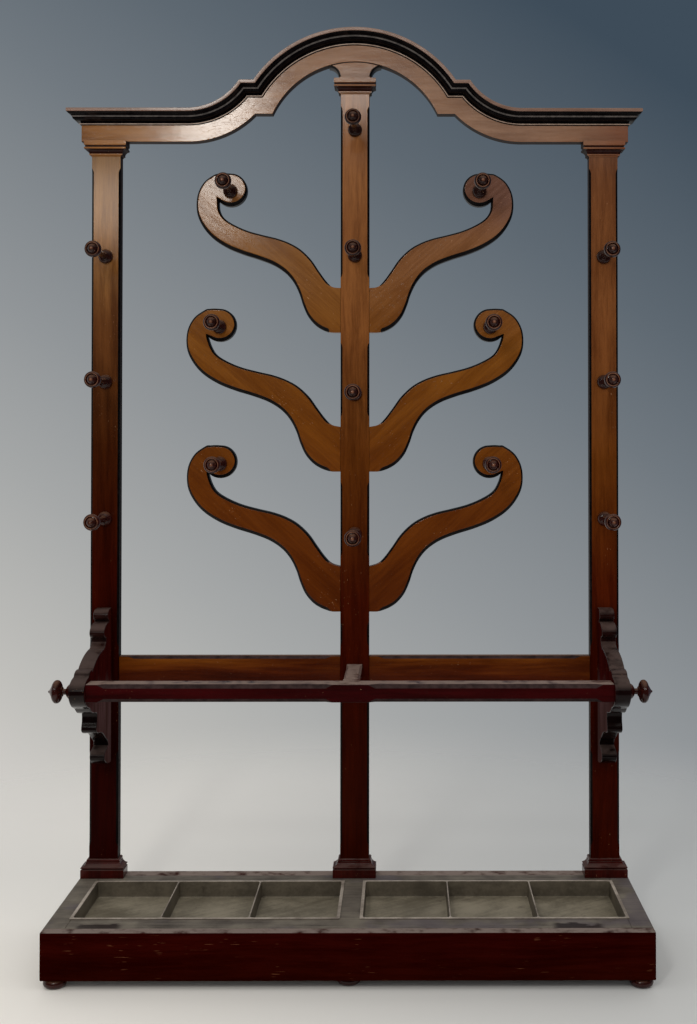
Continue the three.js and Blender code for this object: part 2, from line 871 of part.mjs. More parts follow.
// A strip cut along X from the upper front edge of a rail.
function edgeChamfer([low, high], front, top, size) {
  const strip = new THREE.Shape([
    new THREE.Vector2(front, top - size),
    new THREE.Vector2(front - 1, top - size),
    new THREE.Vector2(front - 1, top + 1),
    new THREE.Vector2(front + size, top + 1),
    new THREE.Vector2(front + size, top),
  ]);
  const cut = new THREE.ExtrudeGeometry(strip, { depth: high - low, bevelEnabled: false });
  const turn = new THREE.Matrix4().makeBasis(
    new THREE.Vector3(0, 1, 0),
    new THREE.Vector3(0, 0, 1),
    new THREE.Vector3(1, 0, 0),
  );
  return solid(cut.applyMatrix4(turn).translate(low, 0, 0));
}

function midRail(sign) {
  const inner = postWidth / 2 + fit;
  const outer = postX - postWidth / 2 - fit;
  const back = midRailFront + midRailThickness;
  let body = block([mirrored([inner, outer], sign), [midRailFront, back], [midRailBottom, midRailTop]]);
  const farTenon = mirrored(midRailTenon[0], -1).map((x) => x + postX);
  for (const x of [midRailTenon[0], farTenon]) {
    body = body.add(block([mirrored(x, sign), midRailTenon[1], midRailTenon[2]]));
  }
  const length = mirrored([inner + chamferStop, outer - chamferStop], sign);
  return body.subtract(edgeChamfer(length, midRailFront, midRailTop, midRailChamfer));
}

// The tenons of the stick rail and of the centre arm where they meet their neighbours.
const stickRailTenon = [
  [stickRailHalf - tenonShoulder, stickRailHalf + fit + bracketThickness / 2 - tenonShoulder / 2],
  span(stickRailY, stickRailDepth / 2),
  span(stickRailZ, stickRailHeight / 2),
];
const centreArmFrontTenon = [
  span(0, centreArmWidth / 2),
  [stickRailBack - tenonLength, stickRailBack + tenonShoulder],
  span(stickRailTop - centreArmHeight / 2, centreArmHeight / 2),
];

function stickRail() {
  let body = block([
    [-stickRailHalf, stickRailHalf],
    span(stickRailY, stickRailDepth),
    span(stickRailZ, stickRailHeight),
  ]);
  const front = stickRailY - stickRailDepth / 2;
  for (const { sign } of sides) {
    body = body.add(block([mirrored(stickRailTenon[0], sign), stickRailTenon[1], stickRailTenon[2]]));
    const length = mirrored([stickChamferCentre, stickRailHalf - stickChamferEnd], sign);
    const upper = edgeChamfer(length, front, stickRailTop, stickRailChamfer);
    const lower = upper.mirror([0, 0, 1]).translate([0, 0, 2 * stickRailZ]);
    body = body.subtract(upper).subtract(lower);
  }
  return body.subtract(mortise(centreArmFrontTenon));
}

function centreArm() {
  const body = block([
    span(0, centreArmWidth),
    [stickRailBack + fit, postFront - fit],
    [stickRailTop - centreArmHeight, stickRailTop],
  ]);
  return body.add(block(centreArmTenon)).add(block(centreArmFrontTenon));
}

// The side of a bracket: distance out from the post and height from the middle of the stick rail.
function bracketOutline() {
  const out = (share) => share * bracketReach;
  const up = (share) => share * bracketRise;
  const down = (share) => -share * bracketDrop;
  const nose = bracketReach;
  return [
    [fit, up(1)],
    [out(0.05), up(1)],
    ...quarter([out(0.07), up(0.99)], [out(0.185), up(0.85)], [out(0.175), up(0.97)]),
    [out(0.165), up(0.825)],
    ...quarter([out(0.195), up(0.82)], [out(0.305), up(0.68)], [out(0.29), up(0.79)]),
    ...quarter([out(0.305), up(0.65)], [out(0.235), up(0.55)], [out(0.29), up(0.57)], 2),
    [out(0.225), up(0.505)],
    ...quarter([out(0.24), up(0.5)], [out(0.36), up(0.405)], [out(0.25), up(0.42)], 3),
    [out(0.37), up(0.42)],
    ...quarter([out(0.47), up(0.42)], [out(0.755), up(0.265)], [out(0.7), up(0.37)], 5),
    [out(0.745), up(0.235)],
    ...quarter([out(0.83), up(0.235)], [out(0.875), up(0.18)], [out(0.875), up(0.235)], 2),
    [out(0.965), up(0.165)],
    [nose, up(0.13)],
    [nose, up(0)],
    ...quarter([out(0.99), down(0.02)], [out(0.86), down(0.21)], [out(0.99), down(0.18)], 5),
    [out(0.8), down(0.23)],
    [out(0.75), down(0.265)],
    ...quarter([out(0.73), down(0.28)], [out(0.61), down(0.305)], [out(0.69), down(0.31)], 2),
    [out(0.595), down(0.32)],
    ...quarter([out(0.5), down(0.36)], [out(0.5), down(0.45)], [out(0.46), down(0.405)], 3),
    [out(0.585), down(0.48)],
    [out(0.575), down(0.505)],
    ...quarter([out(0.49), down(0.52)], [out(0.385), down(0.575)], [out(0.46), down(0.57)], 3),
    [out(0.275), down(0.62)],
    [out(0.16), down(0.71)],
    [out(0.115), down(0.73)],
    [out(0.115), down(0.79)],
    ...quarter([out(0.17), down(0.8)], [out(0.19), down(0.87)], [out(0.21), down(0.82)], 3),
    ...quarter([out(0.17), down(0.91)], [out(0.08), down(1)], [out(0.14), down(0.98)], 3),
    [fit, down(1)],
  ];
}

function sideBracket(sign) {
  const shape = new THREE.Shape(bracketOutline().map(([p, h]) => new THREE.Vector2(-p, h)));
  const cut = new THREE.ExtrudeGeometry(shape, { depth: bracketThickness, bevelEnabled: false });
  const turn = new THREE.Matrix4().makeBasis(
    new THREE.Vector3(0, 1, 0),
    new THREE.Vector3(0, 0, 1),
    new THREE.Vector3(1, 0, 0),
  );
  let body = solid(cut.applyMatrix4(turn).translate(-bracketThickness / 2, postFront, stickRailZ));
  for (const tenon of bracketTenons) {
    body = body.add(block(tenon));
  }
  const railHole = [
    mirrored(stickRailTenon[0].map((x) => x - postX), sign),
    stickRailTenon[1],
    stickRailTenon[2],
  ];
  const knobHole = solid(hole(sideKnobSpigotRadius, -tenonLength, 1))
    .rotate([0, sign * 90, 0])
    .translate([sign * bracketThickness / 2, stickRailY, stickRailZ]);
  return body.subtract(mortise(railHole)).subtract(knobHole);
}

// The stand put together

function addBase() {
  const base = section();
  piece(base, 'base_front_rail', apron([baseFront, apronBack]), darkMahogany);
  piece(base, 'base_back_rail', apron([backRailFront, baseBack]), darkMahogany);
  for (const rail of crossRails) {
    piece(base, rail.name, crossRail(rail), darkMahogany);
  }
  for (const top of topBoards) {
    piece(base, top.name, topBoard(top), dustyBoard);
  }
  for (const { name, sign } of sides) {
    piece(base, `drip_tray_${name}`, dripTray(sign), trayMetal);
  }
  for (const place of footPlaces) {
    piece(base, place.name, footBody(), turnedMahogany, [place.x, place.y, 0]);
  }
}

function addPosts() {
  const posts = section();
  const places = [
    { name: 'left', x: -postX, top: sidePostTop, body: sidePost(-1) },
    { name: 'centre', x: 0, top: centrePostTop - fit, body: centrePost() },
    { name: 'right', x: postX, top: sidePostTop, body: sidePost(1) },
  ];
  for (const { name, x, top, body } of places) {
    piece(posts, `post_${name}`, body, mahogany, [x, 0, 0]);
    piece(posts, `plinth_block_${name}`, collar(plinthProfile()), darkMahogany, [x, 0, postBottom]);
    piece(posts, `capital_${name}`, collar(capitalProfile()), mahogany, [x, 0, top - capitalHeight]);
  }
}

function addCrest() {
  const crest = section();
  piece(crest, 'centre_head_block', headBlock(), mahogany);
  piece(crest, 'crest_board', crestBoard(), mahogany);
  piece(crest, 'cornice_left', corniceEnd(-1), ebonised);
  piece(crest, 'cornice_arch', corniceArch(), ebonised);
  piece(crest, 'cornice_right', corniceEnd(1), ebonised);
}

function addArmsAndPegs() {
  const arms = section();
  const peg = pegBody();
  for (const tier of armTiers) {
    for (const { name, sign } of sides) {
      const root = [sign * postWidth / 2, armFront, tier.footZ];
      const eye = armEye(tier);
      piece(arms, `scroll_arm_${tier.name}_${name}`, scrollArm(tier, sign), mahogany, root);
      piece(arms, `coat_peg_arm_${tier.name}_${name}`, peg, turnedMahogany,
        [root[0] + sign * eye[0], armFront, root[2] + eye[1]]);
    }
  }
  sidePegHeights.forEach((z, index) => {
    for (const { name, sign } of sides) {
      piece(arms, `coat_peg_${name}_${index + 1}`, peg, turnedMahogany, [sign * postX, postFront, z]);
    }
  });
  centrePegHeights.forEach((z, index) => {
    piece(arms, `coat_peg_centre_${index + 1}`, peg, turnedMahogany, [0, postFront, z]);
  });
}

function addStickRail() {
  const rails = section();
  piece(rails, 'stick_rail', stickRail(), darkMahogany);
  piece(rails, 'stick_rail_centre_arm', centreArm(), darkMahogany);
  for (const { name, sign } of sides) {
    piece(rails, `mid_rail_${name}`, midRail(sign), darkMahogany);
    piece(rails, `side_bracket_${name}`, sideBracket(sign), darkMahogany, [sign * postX, 0, 0]);
    piece(rails, `side_knob_${name}`, sideKnob(sign), turnedMahogany,
      [sign * (postX + bracketThickness / 2), stickRailY, stickRailZ]);
  }
}

addBase();
addPosts();
addCrest();
addArmsAndPegs();
addStickRail();

export default stand;
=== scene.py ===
import math

import bmesh
import bpy
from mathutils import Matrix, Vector


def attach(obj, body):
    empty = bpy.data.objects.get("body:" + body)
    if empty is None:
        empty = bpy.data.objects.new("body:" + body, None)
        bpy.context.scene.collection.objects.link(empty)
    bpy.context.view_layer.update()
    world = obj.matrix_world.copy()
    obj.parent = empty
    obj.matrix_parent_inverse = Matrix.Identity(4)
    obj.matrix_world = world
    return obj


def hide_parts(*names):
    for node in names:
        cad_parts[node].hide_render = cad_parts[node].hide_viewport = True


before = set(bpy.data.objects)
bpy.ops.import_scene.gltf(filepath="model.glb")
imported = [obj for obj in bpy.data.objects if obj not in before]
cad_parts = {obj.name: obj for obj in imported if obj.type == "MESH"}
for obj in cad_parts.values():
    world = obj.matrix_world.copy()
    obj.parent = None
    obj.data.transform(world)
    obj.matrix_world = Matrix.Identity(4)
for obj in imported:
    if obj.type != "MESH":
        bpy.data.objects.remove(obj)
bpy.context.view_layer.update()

scene = bpy.context.scene
mm = 0.001
fit = 0.3  # gap that the joints keep
weld = {"mesh": 1e-6, "tray": 0.00005, "pole": 0.00002}  # in metres: points nearer than this are joined
sides = {"left": -1, "right": 1}

stand = {
    "baseHalf": 636, "baseFront": -190, "baseBack": 190, "baseTop": 119, "footHeight": 20,
    "postX": 584, "postWidth": 67, "postFront": 152, "postBack": 180,
    "crestUnder": 1835, "archCentre": 1810, "archRadius": 214.5,
}
half = stand["postWidth"] / 2
postFront = stand["postFront"]
postBack = stand["postBack"]


# Node trees

class Wire:  # an output socket that can take part in a sum
    def __init__(self, graph, socket):
        self.graph = graph
        self.socket = socket

    def maths(self, operation, *values):
        return self.graph.node("ShaderNodeMath", dict(enumerate(values)), operation=operation)

    def output(self, name):  # another output of the same node
        return Wire(self.graph, self.socket.node.outputs[name])

    def __add__(self, other):
        return self.maths("ADD", self, other)

    def __sub__(self, other):
        return self.maths("SUBTRACT", self, other)

    def __rsub__(self, other):
        return self.maths("SUBTRACT", other, self)

    def __mul__(self, other):
        return self.maths("MULTIPLY", self, other)

    def __truediv__(self, other):
        return self.maths("DIVIDE", self, other)

    __radd__ = __add__
    __rmul__ = __mul__


def tone(red, green, blue):  # a colour as it is seen on a screen, made linear
    def linear(value):
        share = value / 255
        return share / 12.92 if share <= 0.04045 else ((share + 0.055) / 1.055) ** 2.4
    return (linear(red), linear(green), linear(blue), 1.0)


class Graph:  # a node tree that is filled by one method, with short names for what is asked often
    def __init__(self, tree):
        self.tree = tree
        tree.nodes.clear()

    def node(self, kind, inputs=None, output=0, **settings):
        made = self.tree.nodes.new(kind)
        for key, value in settings.items():
            setattr(made, key, value)
        for key, value in (inputs or {}).items():
            if isinstance(value, Wire):
                self.tree.links.new(value.socket, made.inputs[key])
            else:
                made.inputs[key].default_value = value
        return Wire(self, made.outputs[output] if len(made.outputs) else None)

    def axis(self, vector, name):
        return self.node("ShaderNodeSeparateXYZ", {0: vector}, name)

    def smooth(self, value, low, high, fromValue=0.0, toValue=1.0):
        return self.node("ShaderNodeMapRange", {
            "Value": value, "From Min": low, "From Max": high, "To Min": fromValue, "To Max": toValue},
            interpolation_type="SMOOTHSTEP")

    def mix(self, factor, first, second, blend="MIX"):  # each colour is a wire, or as seen on a screen
        first, second = (side if isinstance(side, Wire) else tone(*side) for side in (first, second))
        return self.node("ShaderNodeMix", {0: factor, 6: first, 7: second}, 2, data_type="RGBA",
                         blend_type=blend)

    def ramp(self, value, tones, start=0.0, run=1.0):
        made = self.node("ShaderNodeValToRGB", {0: value})
        stops = made.socket.node.color_ramp.elements
        while len(stops) < len(tones):
            stops.new(0.5)
        for stop, (spot, *colour) in zip(stops, tones):
            stop.position = (spot - start) / run
            stop.color = tone(*colour)
        return made

    def vectorMaths(self, operation, *values, output=0):
        return self.node("ShaderNodeVectorMath", dict(enumerate(values)), output, operation=operation)


class Finish(Graph):
    def __init__(self, name):
        self.material = bpy.data.materials.new(name)
        self.material.use_nodes = True
        super().__init__(self.material.node_tree)
        self.place = self.node("ShaderNodeTexCoord", output="Object")

    def upward(self):
        return self.axis(self.node("ShaderNodeNewGeometry", output="Normal"), "Z")

    def noise(self, scale, detail=2.0, roughness=0.5, vector=None):
        return self.node("ShaderNodeTexNoise", {
            "Vector": vector or self.place, "Scale": scale, "Detail": detail, "Roughness": roughness})

    def patches(self, scale, detail, low, high, roughness=0.5):
        return self.smooth(self.noise(scale, detail, roughness), low, high)

    def streaks(self, turn, size, detail=2.0, roughness=0.5, vector=None):  # marks along the grain
        drawn = self.node("ShaderNodeMapping", {
            "Vector": vector or self.place, "Rotation": turn, "Scale": size}, vector_type="TEXTURE")
        return self.noise(1.0, detail, roughness, drawn)

    def bump(self, height, distance, strength=0.5, normal=None):
        under = {"Normal": normal} if normal else {}
        return self.node("ShaderNodeBump", {
            "Height": height, "Distance": distance, "Strength": strength, **under})

    def surface(self, colour, rough, gloss, metallic=0.0, **others):
        shader = self.node("ShaderNodeBsdfPrincipled", {
            "Base Color": colour, "Roughness": rough, "Specular IOR Level": gloss, "Metallic": metallic,
            **{key.replace("_", " "): value for key, value in others.items()}})
        self.node("ShaderNodeOutputMaterial", {"Surface": shader})
        return self.material


# Finishes

alongX = (0.0, 0.0, 0.0)
alongY = (0.0, 0.0, math.radians(90))
alongZ = (0.0, math.radians(-90), 0.0)
woodMarks = {  # length along the grain, width and depth, in metres
    "figure": (0.40, 0.030, 0.030), "streak": (0.12, 0.0070, 0.0070), "fibre": (0.020, 0.0012, 0.0012),
    "fleck": (0.013, 0.0010, 0.0010), "smear": (0.20, 0.04, 0.04), "ripple": (0.05, 0.016, 0.016),
}


def polishedWood(name, look):
    wood = Finish(name)
    turn = look["grain"]
    drift = wood.noise(2.2).output("Color")
    bent = wood.vectorMaths("MULTIPLY_ADD", drift, (0.03,) * 3, wood.place)  # so that the grain wanders
    figure = wood.streaks(turn, woodMarks["figure"], 3.0, 0.55, bent)
    streak = wood.streaks(turn, woodMarks["streak"], 4.0, 0.62, bent)
    fibre = wood.streaks(turn, woodMarks["fibre"], 3.0, 0.6)
    flecks = wood.streaks(turn, woodMarks["fleck"], 1.0)
    pores = wood.smooth(flecks, 0.62, 0.76)
    gleams = wood.smooth(flecks, 0.38, 0.26)
    body = wood.smooth(figure * 0.46 + streak * 0.34 + fibre * 0.20, 0.34, 0.66)
    start, run = look["range"]  # where the tones begin, and over what length
    along = wood.axis(wood.place, "X" if look["across"] else "Z") + 0.10 * (figure - 0.5)
    level = wood.ramp((along - start) / run, look["tones"], start, run)
    dark = wood.vectorMaths("MULTIPLY", level, look["darkShare"])
    light = wood.vectorMaths("MULTIPLY", level, look["lightShare"])
    colour = wood.mix(body, dark, light)
    colour = wood.mix(pores * 0.4, colour, dark)
    colour = wood.mix(gleams * look["gleam"], colour, light)
    colour = wood.mix(wood.patches(7.0, 3.0, 0.40, 0.72) * 0.3, colour, look["shade"], "MULTIPLY")
    nick = wood.smooth(wood.streaks(turn, look["nickSize"], 1.0), look["nickFrom"], look["nickFrom"] + 0.05)
    worn = nick * wood.patches(16.0, 2.0, 0.50, 0.64)  # nicks come in places only
    colour = wood.mix(worn * 0.6, colour, look["nick"])
    # dust on top faces, partly real dust and partly painted top light: upward faces are mixed towards a
    # paler colour
    dusty = wood.smooth(wood.upward(), 0.35, 0.95) * wood.patches(38.0, 4.0, 0.22, 0.55)  # on top faces
    colour = wood.mix(dusty * look["dustAndTopLight"], colour, look["dustAndTopLightColour"])
    # paler marks set by the turned profiles: worn rings, and painted highlights on the peg domes and the
    # feet
    if look["wearAndHighlightRings"]:
        ring = wood.node("ShaderNodeAttribute", output="Fac", attribute_name="wear")
        patchy = wood.smooth(wood.noise(34.0, 3.0), 0.32, 0.62, 0.3, 0.95)
        colour = wood.mix(ring * patchy, colour, look["wearAndHighlightRings"])
    smear = wood.streaks(turn, woodMarks["smear"], 3.0)
    rough = look["rough"] + 0.10 * (smear - 0.5) + 0.08 * pores + 0.35 * dusty
    normal = wood.bump(wood.streaks(turn, woodMarks["ripple"]), 0.00045)
    dimples = wood.noise(260.0)
    normal = wood.bump(fibre * 0.3 + dimples * 0.35 - 0.8 * pores - 1.2 * worn, 0.00012, normal=normal)
    coat = {}
    if look["coat"]:  # the polish is thinner near the floor
        cover = wood.smooth(wood.axis(wood.place, "Z"), 0.7, 1.6)
        coat = {"Coat_Weight": look["coat"] * cover, "Coat_Roughness": 0.13, "Coat_IOR": 1.5}
    return wood.surface(colour, rough, look["gloss"], Normal=normal, **coat)


mahogany = {  # tones go with the height in metres, or across the stand where across is true
    "grain": alongZ, "rough": 0.22, "gloss": 0.5, "coat": 0.0, "gleam": 0.35, "across": False,
    "tones": [(0.10, 38, 6, 1), (0.30, 43, 8, 1), (0.60, 51, 10, 2), (0.76, 57, 14, 2),
              (0.95, 70, 30, 5), (1.10, 82, 41, 8), (1.40, 110, 65, 29), (1.75, 112, 69, 35),
              (2.10, 122, 80, 46)],
    "range": (0.0, 2.1), "darkShare": (0.62, 0.56, 0.50), "lightShare": (1.36, 1.42, 1.45),
    "shade": (190, 165, 150), "nick": (176, 132, 96), "nickSize": (0.007, 0.002, 0.002), "nickFrom": 0.72,
    "dustAndTopLight": 0.35, "dustAndTopLightColour": (118, 104, 92), "wearAndHighlightRings": None,
}
armTones = [(0.70, 76, 30, 3), (1.00, 94, 46, 6), (1.35, 107, 62, 15)]
armLook = dict(gleam=0.6, rough=0.16, gloss=0.26, darkShare=(0.76, 0.70, 0.62),
               lightShare=(1.22, 1.26, 1.30))
woodLooks = {  # the name of each material and how it differs from plain mahogany
    "centre": ("polished_mahogany_upright", dict(gloss=0.015, coat=0.75)),
    # the left post's tones are paler and more orange between about 1.5 and 1.75 m, a painted glare
    "left": ("polished_mahogany_left_post", dict(
        gloss=0.015, coat=0.9, tones=[
            (0.10, 29, 2, 1), (0.60, 38, 4, 1), (0.82, 46, 7, 1), (1.11, 50, 18, 2),
            (1.42, 82, 46, 18), (1.60, 130, 88, 44), (1.70, 126, 86, 44), (1.80, 104, 72, 38)])),
    "right": ("polished_mahogany_right_post", dict(
        gloss=0.015, coat=0.75, tones=[
            (0.10, 46, 8, 1), (0.60, 55, 11, 2), (0.80, 66, 20, 3), (1.10, 84, 42, 8),
            (1.40, 104, 60, 28), (1.75, 98, 58, 31), (2.10, 104, 66, 40)])),
    # the paler, pinker tones over the arch and the right sweep partly paint the sheen on the crest
    "crest": ("polished_mahogany_crest", dict(
        grain=alongX, across=True, range=(-0.7, 1.4), rough=0.15, gloss=0.4, tones=[
            (-0.66, 104, 64, 28), (-0.60, 124, 80, 36), (-0.30, 124, 84, 48), (0.0, 114, 78, 52),
            (0.30, 126, 96, 76), (0.52, 120, 84, 60), (0.62, 104, 60, 34), (0.68, 92, 48, 26)],
        darkShare=(0.78, 0.72, 0.66), lightShare=(1.18, 1.22, 1.26))),
    # the fascia's pale greyish pink tones partly paint its sheen
    "fascia": ("polished_mahogany_fascia", dict(
        grain=alongX, gloss=0.4, tones=[(1.80, 112, 84, 70), (2.10, 116, 92, 80)],
        darkShare=(0.72, 0.68, 0.64), lightShare=(1.24, 1.28, 1.32))),
    "armLeft": ("polished_mahogany_arm_left", dict(
        armLook, grain=(0.0, math.radians(42), 0.0),
        tones=armTones + [(1.60, 116, 76, 36), (1.80, 114, 78, 46)])),
    # the pinker tones near the top of the right arms paint their sheen
    "armRight": ("polished_mahogany_arm_right", dict(
        armLook, grain=(0.0, math.radians(-42), 0.0),
        tones=armTones + [(1.60, 112, 74, 46), (1.70, 96, 66, 54)])),
    # on the turned pieces the dust colour paints their upper halves paler as painted top light, and the
    # ring colour also paints highlights
    "turned": ("turned_mahogany", dict(
        grain=alongY, rough=0.17, gloss=0.34, dustAndTopLight=0.4, dustAndTopLightColour=(122, 84, 60), gleam=0.1,
        wearAndHighlightRings=(128, 86, 64), tones=[(0.0, 40, 11, 8), (1.0, 42, 13, 9), (1.7, 27, 9, 7)])),
    # the mid rail is paler at its top edge and darker below, painted light from above
    "midRail": ("mahogany_mid_rail", dict(
        grain=alongX, dustAndTopLight=0.6, gloss=0.16, dustAndTopLightColour=(104, 88, 74),
        tones=[(0.55, 56, 14, 2), (0.59, 68, 23, 3), (0.61, 86, 38, 5), (0.63, 98, 50, 8)])),
    "rail": ("dark_mahogany_rail", dict(
        grain=alongX, gloss=0.12, dustAndTopLight=0.95, dustAndTopLightColour=(128, 110, 101),
        tones=[(0.56, 38, 2, 3), (0.64, 46, 3, 4)])),
    # the brackets' sides: pinkish grey below the rail is a painted sheen, dark red above it
    "bracketSideSheen": ("bracket_side_painted_sheen", dict(
        gloss=0.0, rough=0.5, dustAndTopLight=0.2,
        tones=[(0.35, 66, 46, 45), (0.55, 72, 50, 50), (0.60, 48, 9, 8), (0.75, 42, 9, 5)])),
    # on the brackets the dust colour also paints the highlights on their upward faces
    "bracket": ("dark_mahogany_bracket", dict(
        gloss=0.16, rough=0.18, dustAndTopLight=0.38, dustAndTopLightColour=(104, 86, 80),
        tones=[(0.10, 44, 8, 5), (0.16, 52, 10, 6), (0.35, 12, 4, 3), (0.60, 16, 5, 5),
               (0.75, 32, 12, 9)])),
    # dark side finish: painted shade for sides, undersides and returns
    "side": ("mahogany_side_painted_shade", dict(
        gloss=0.06, rough=0.5, dustAndTopLight=0.2,
        tones=[(0.1, 14, 4, 3), (1.0, 20, 7, 4), (2.0, 30, 16, 12)])),
    "base": ("dark_mahogany_base", dict(
        grain=alongX, rough=0.36, gloss=0.0, dustAndTopLight=1.0, dustAndTopLightColour=(118, 106, 100), gleam=0.2,
        tones=[(0.02, 35, 3, 1), (0.12, 40, 3, 2)], nickSize=(0.034, 0.0016, 0.0016), nickFrom=0.70,
        nick=(122, 78, 54), darkShare=(0.66, 0.4, 0.4), lightShare=(1.4, 2.2, 1.8))),
}
woods = {key: polishedWood(name, {**mahogany, **look}) for key, (name, look) in woodLooks.items()}


def ebonisedWood(name, roughness, gloss, dark=(3, 2, 3), light=(11, 8, 9)):
    black = Finish(name)
    mottle = black.noise(60.0, 4.0, 0.6)
    rub = black.patches(22.0, 3.0, 0.60, 0.76)
    colour = black.mix(black.smooth(mottle, 0.3, 0.7), dark, light)
    colour = black.mix(rub * 0.4, colour, (38, 27, 23))
    normal = black.bump(mottle * 0.6 + black.noise(420.0) * 0.4, 0.00015, 0.4)
    return black.surface(colour, roughness + 0.08 * mottle + 0.12 * rub, gloss, Normal=normal)


def dustyBoard():
    dull = Finish("dusty_board")
    x, y = (dull.axis(dull.place, name) for name in "XY")
    grain = dull.streaks(alongX, (0.16, 0.006, 0.006), 4.0, 0.6)
    cloud = dull.noise(14.0, 5.0, 0.6)
    colour = dull.ramp(cloud * 0.6 + grain * 0.4, [
        (0.34, 62, 54, 48), (0.5, 94, 87, 78), (0.66, 118, 111, 98)])
    colour = dull.mix(dull.patches(5.0, 4.0, 0.52, 0.62, 0.6) * 0.5, colour, (84, 76, 84))
    wave = dull.streaks(alongX, (0.05, 0.018, 1.0), 3.0, 0.6)
    edge = dull.smooth(0.143 + y + 0.05 * (wave - 0.5), -0.004, 0.003, 1.0, 0.0)
    left = dull.smooth(x, -0.575, -0.560) * dull.smooth(x, -0.49, -0.47, 1.0, 0.0)
    right = dull.smooth(x, 0.42, 0.44) * dull.smooth(x, 0.52, 0.54, 1.0, 0.0)
    stain = edge * (left + right)  # two dark spots on the front board
    colour = dull.mix(stain * 0.85, colour, (30, 16, 13))
    rough = 0.62 + 0.2 * (cloud - 0.5) - 0.15 * stain
    normal = dull.bump(dull.noise(320.0, 3.0) * 0.5 + grain, 0.0004, 0.6)
    return dull.surface(colour, rough, 0.3, Normal=normal)


def trayMetal(name, dark, light, metallic):
    metal = Finish(name)
    cloud = metal.noise(9.0, 5.0, 0.62)
    speckle = metal.noise(160.0, 4.0, 0.65)
    wipe = metal.streaks((0.0, 0.0, 0.6), (0.12, 0.012, 0.012), 3.0)
    cover = metal.smooth(cloud * 0.6 + speckle * 0.2 + wipe * 0.2, 0.36, 0.64)
    colour = metal.mix(cover, dark, light)
    # vertical walls of the cells are darkened: painted shade
    paintedWallShade = metal.smooth(metal.upward(), 0.3, 0.8, 1.0, 0.0)
    colour = metal.mix(paintedWallShade * 0.7, colour, (120, 108, 98), "MULTIPLY")
    colour = metal.mix(metal.patches(28.0, 5.0, 0.60, 0.72, 0.7) * 0.4, colour, (48, 36, 27))  # rust
    rough = 0.50 + 0.22 * (cloud - 0.5) + 0.12 * speckle
    normal = metal.bump(speckle * 0.5 + cloud, 0.0005)
    return metal.surface(colour, rough, 0.4, metallic, Normal=normal)


ebonised = ebonisedWood("ebonised_moulding", 0.14, 0.07)
blackEdge = ebonisedWood("ebonised_edge", 0.34, 0.12)
# a grey line painted on the cornice's ovolo as its highlight
highlightStrip = ebonisedWood("ebonised_painted_highlight_strip", 0.4, 0.2, (56, 52, 50), (84, 78, 74))
# a pale line along the cornice's lower fillet
paleLine = ebonisedWood("pale_fillet", 0.3, 0.3, (128, 106, 92), (158, 136, 120))
# the rails' black chamfers are coloured dark grey, a painted reflection
railChamfer = ebonisedWood("rail_chamfer_painted_sheen", 0.45, 0.04, (36, 26, 26), (58, 44, 43))
dusty = dustyBoard()
trayPaint = trayMetal("tray_grey_paint", (95, 88, 73), (137, 129, 111), 0.0)
trayRim = trayMetal("tray_worn_rim", (120, 110, 100), (176, 166, 154), 0.1)
print("finishes ready")


# Mesh making

def placed(name, data):
    made = bpy.data.objects.new(name, data)
    scene.collection.objects.link(made)
    return made


def baked(piece, modifier):  # the mesh that the modifier makes, with the modifier taken off
    mesh = bpy.data.meshes.new_from_object(piece.evaluated_get(bpy.context.evaluated_depsgraph_get()))
    piece.modifiers.remove(modifier)
    return mesh


def meshFrom(name, bm, finishes):  # frees the bmesh
    mesh = bpy.data.meshes.new(name)
    bm.to_mesh(mesh)
    bm.free()
    for material in finishes:
        mesh.materials.append(material)
    return mesh


def finished(name, bm, finishes, nodes, body="stand", sharp=35):
    bmesh.ops.remove_doubles(bm, verts=bm.verts, dist=weld["mesh"])
    bmesh.ops.recalc_face_normals(bm, faces=bm.faces)
    mesh = meshFrom(name, bm, finishes)
    mesh.shade_smooth()
    mesh.set_sharp_from_angle(angle=math.radians(sharp))
    piece = placed(name, mesh)
    weighing = piece.modifiers.new("flat_faces", "WEIGHTED_NORMAL")
    weighing.keep_sharp = True
    piece.data = baked(piece, weighing)
    piece.data.name = name
    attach(piece, body)
    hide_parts(*nodes)


def loft(rings, material=None, caps=(0, 0), bm=None):  # joins rings; a cap of None stays open
    bm = bmesh.new() if bm is None else bm
    rows = [[bm.verts.new(Vector(spot) * mm) for spot in ring] for ring in rings]
    count = len(rows[0])
    for i in range(len(rows) - 1):
        for j in range(count):
            k = (j + 1) % count
            face = bm.faces.new((rows[i][j], rows[i][k], rows[i + 1][k], rows[i + 1][j]))
            face.material_index = material(i, j) if material else 0
    for row, cap in zip((rows[0], rows[-1]), caps):
        if cap is not None:
            bm.faces.new(row).material_index = cap
    return bm


def unit(value):  # held between 0 and 1
    return max(0.0, min(1.0, value))


def softened(corners, radius, steps):  # rounds each corner
    rounded = []
    for i, corner in enumerate(corners):
        here = Vector(corner)
        before = Vector(corners[i - 1]) - here
        after = Vector(corners[(i + 1) % len(corners)]) - here
        cut = min(radius, before.length * 0.45, after.length * 0.45)
        start = here + before.normalized() * cut
        end = here + after.normalized() * cut
        for k in range(steps + 1):
            share = k / steps
            rounded.append(tuple(start.lerp(here, share).lerp(here.lerp(end, share), share)))
    return rounded


def inset(outline, distances):  # moves each point of a closed outline inwards by its own distance
    area = sum(a[0] * b[1] - b[0] * a[1] for a, b in zip(outline, outline[1:] + outline[:1]))
    turn = 1 if area > 0 else -1
    moved = []
    for i, spot in enumerate(outline):
        here = Vector(spot)
        one = (here - Vector(outline[i - 1])).normalized()
        two = (Vector(outline[(i + 1) % len(outline)]) - here).normalized()
        across = Vector((-one.y - two.y, one.x + two.x)) * turn
        moved.append(tuple(here + across * (distances[i] * 2 / max(across.length_squared, 1.2))))
    return moved


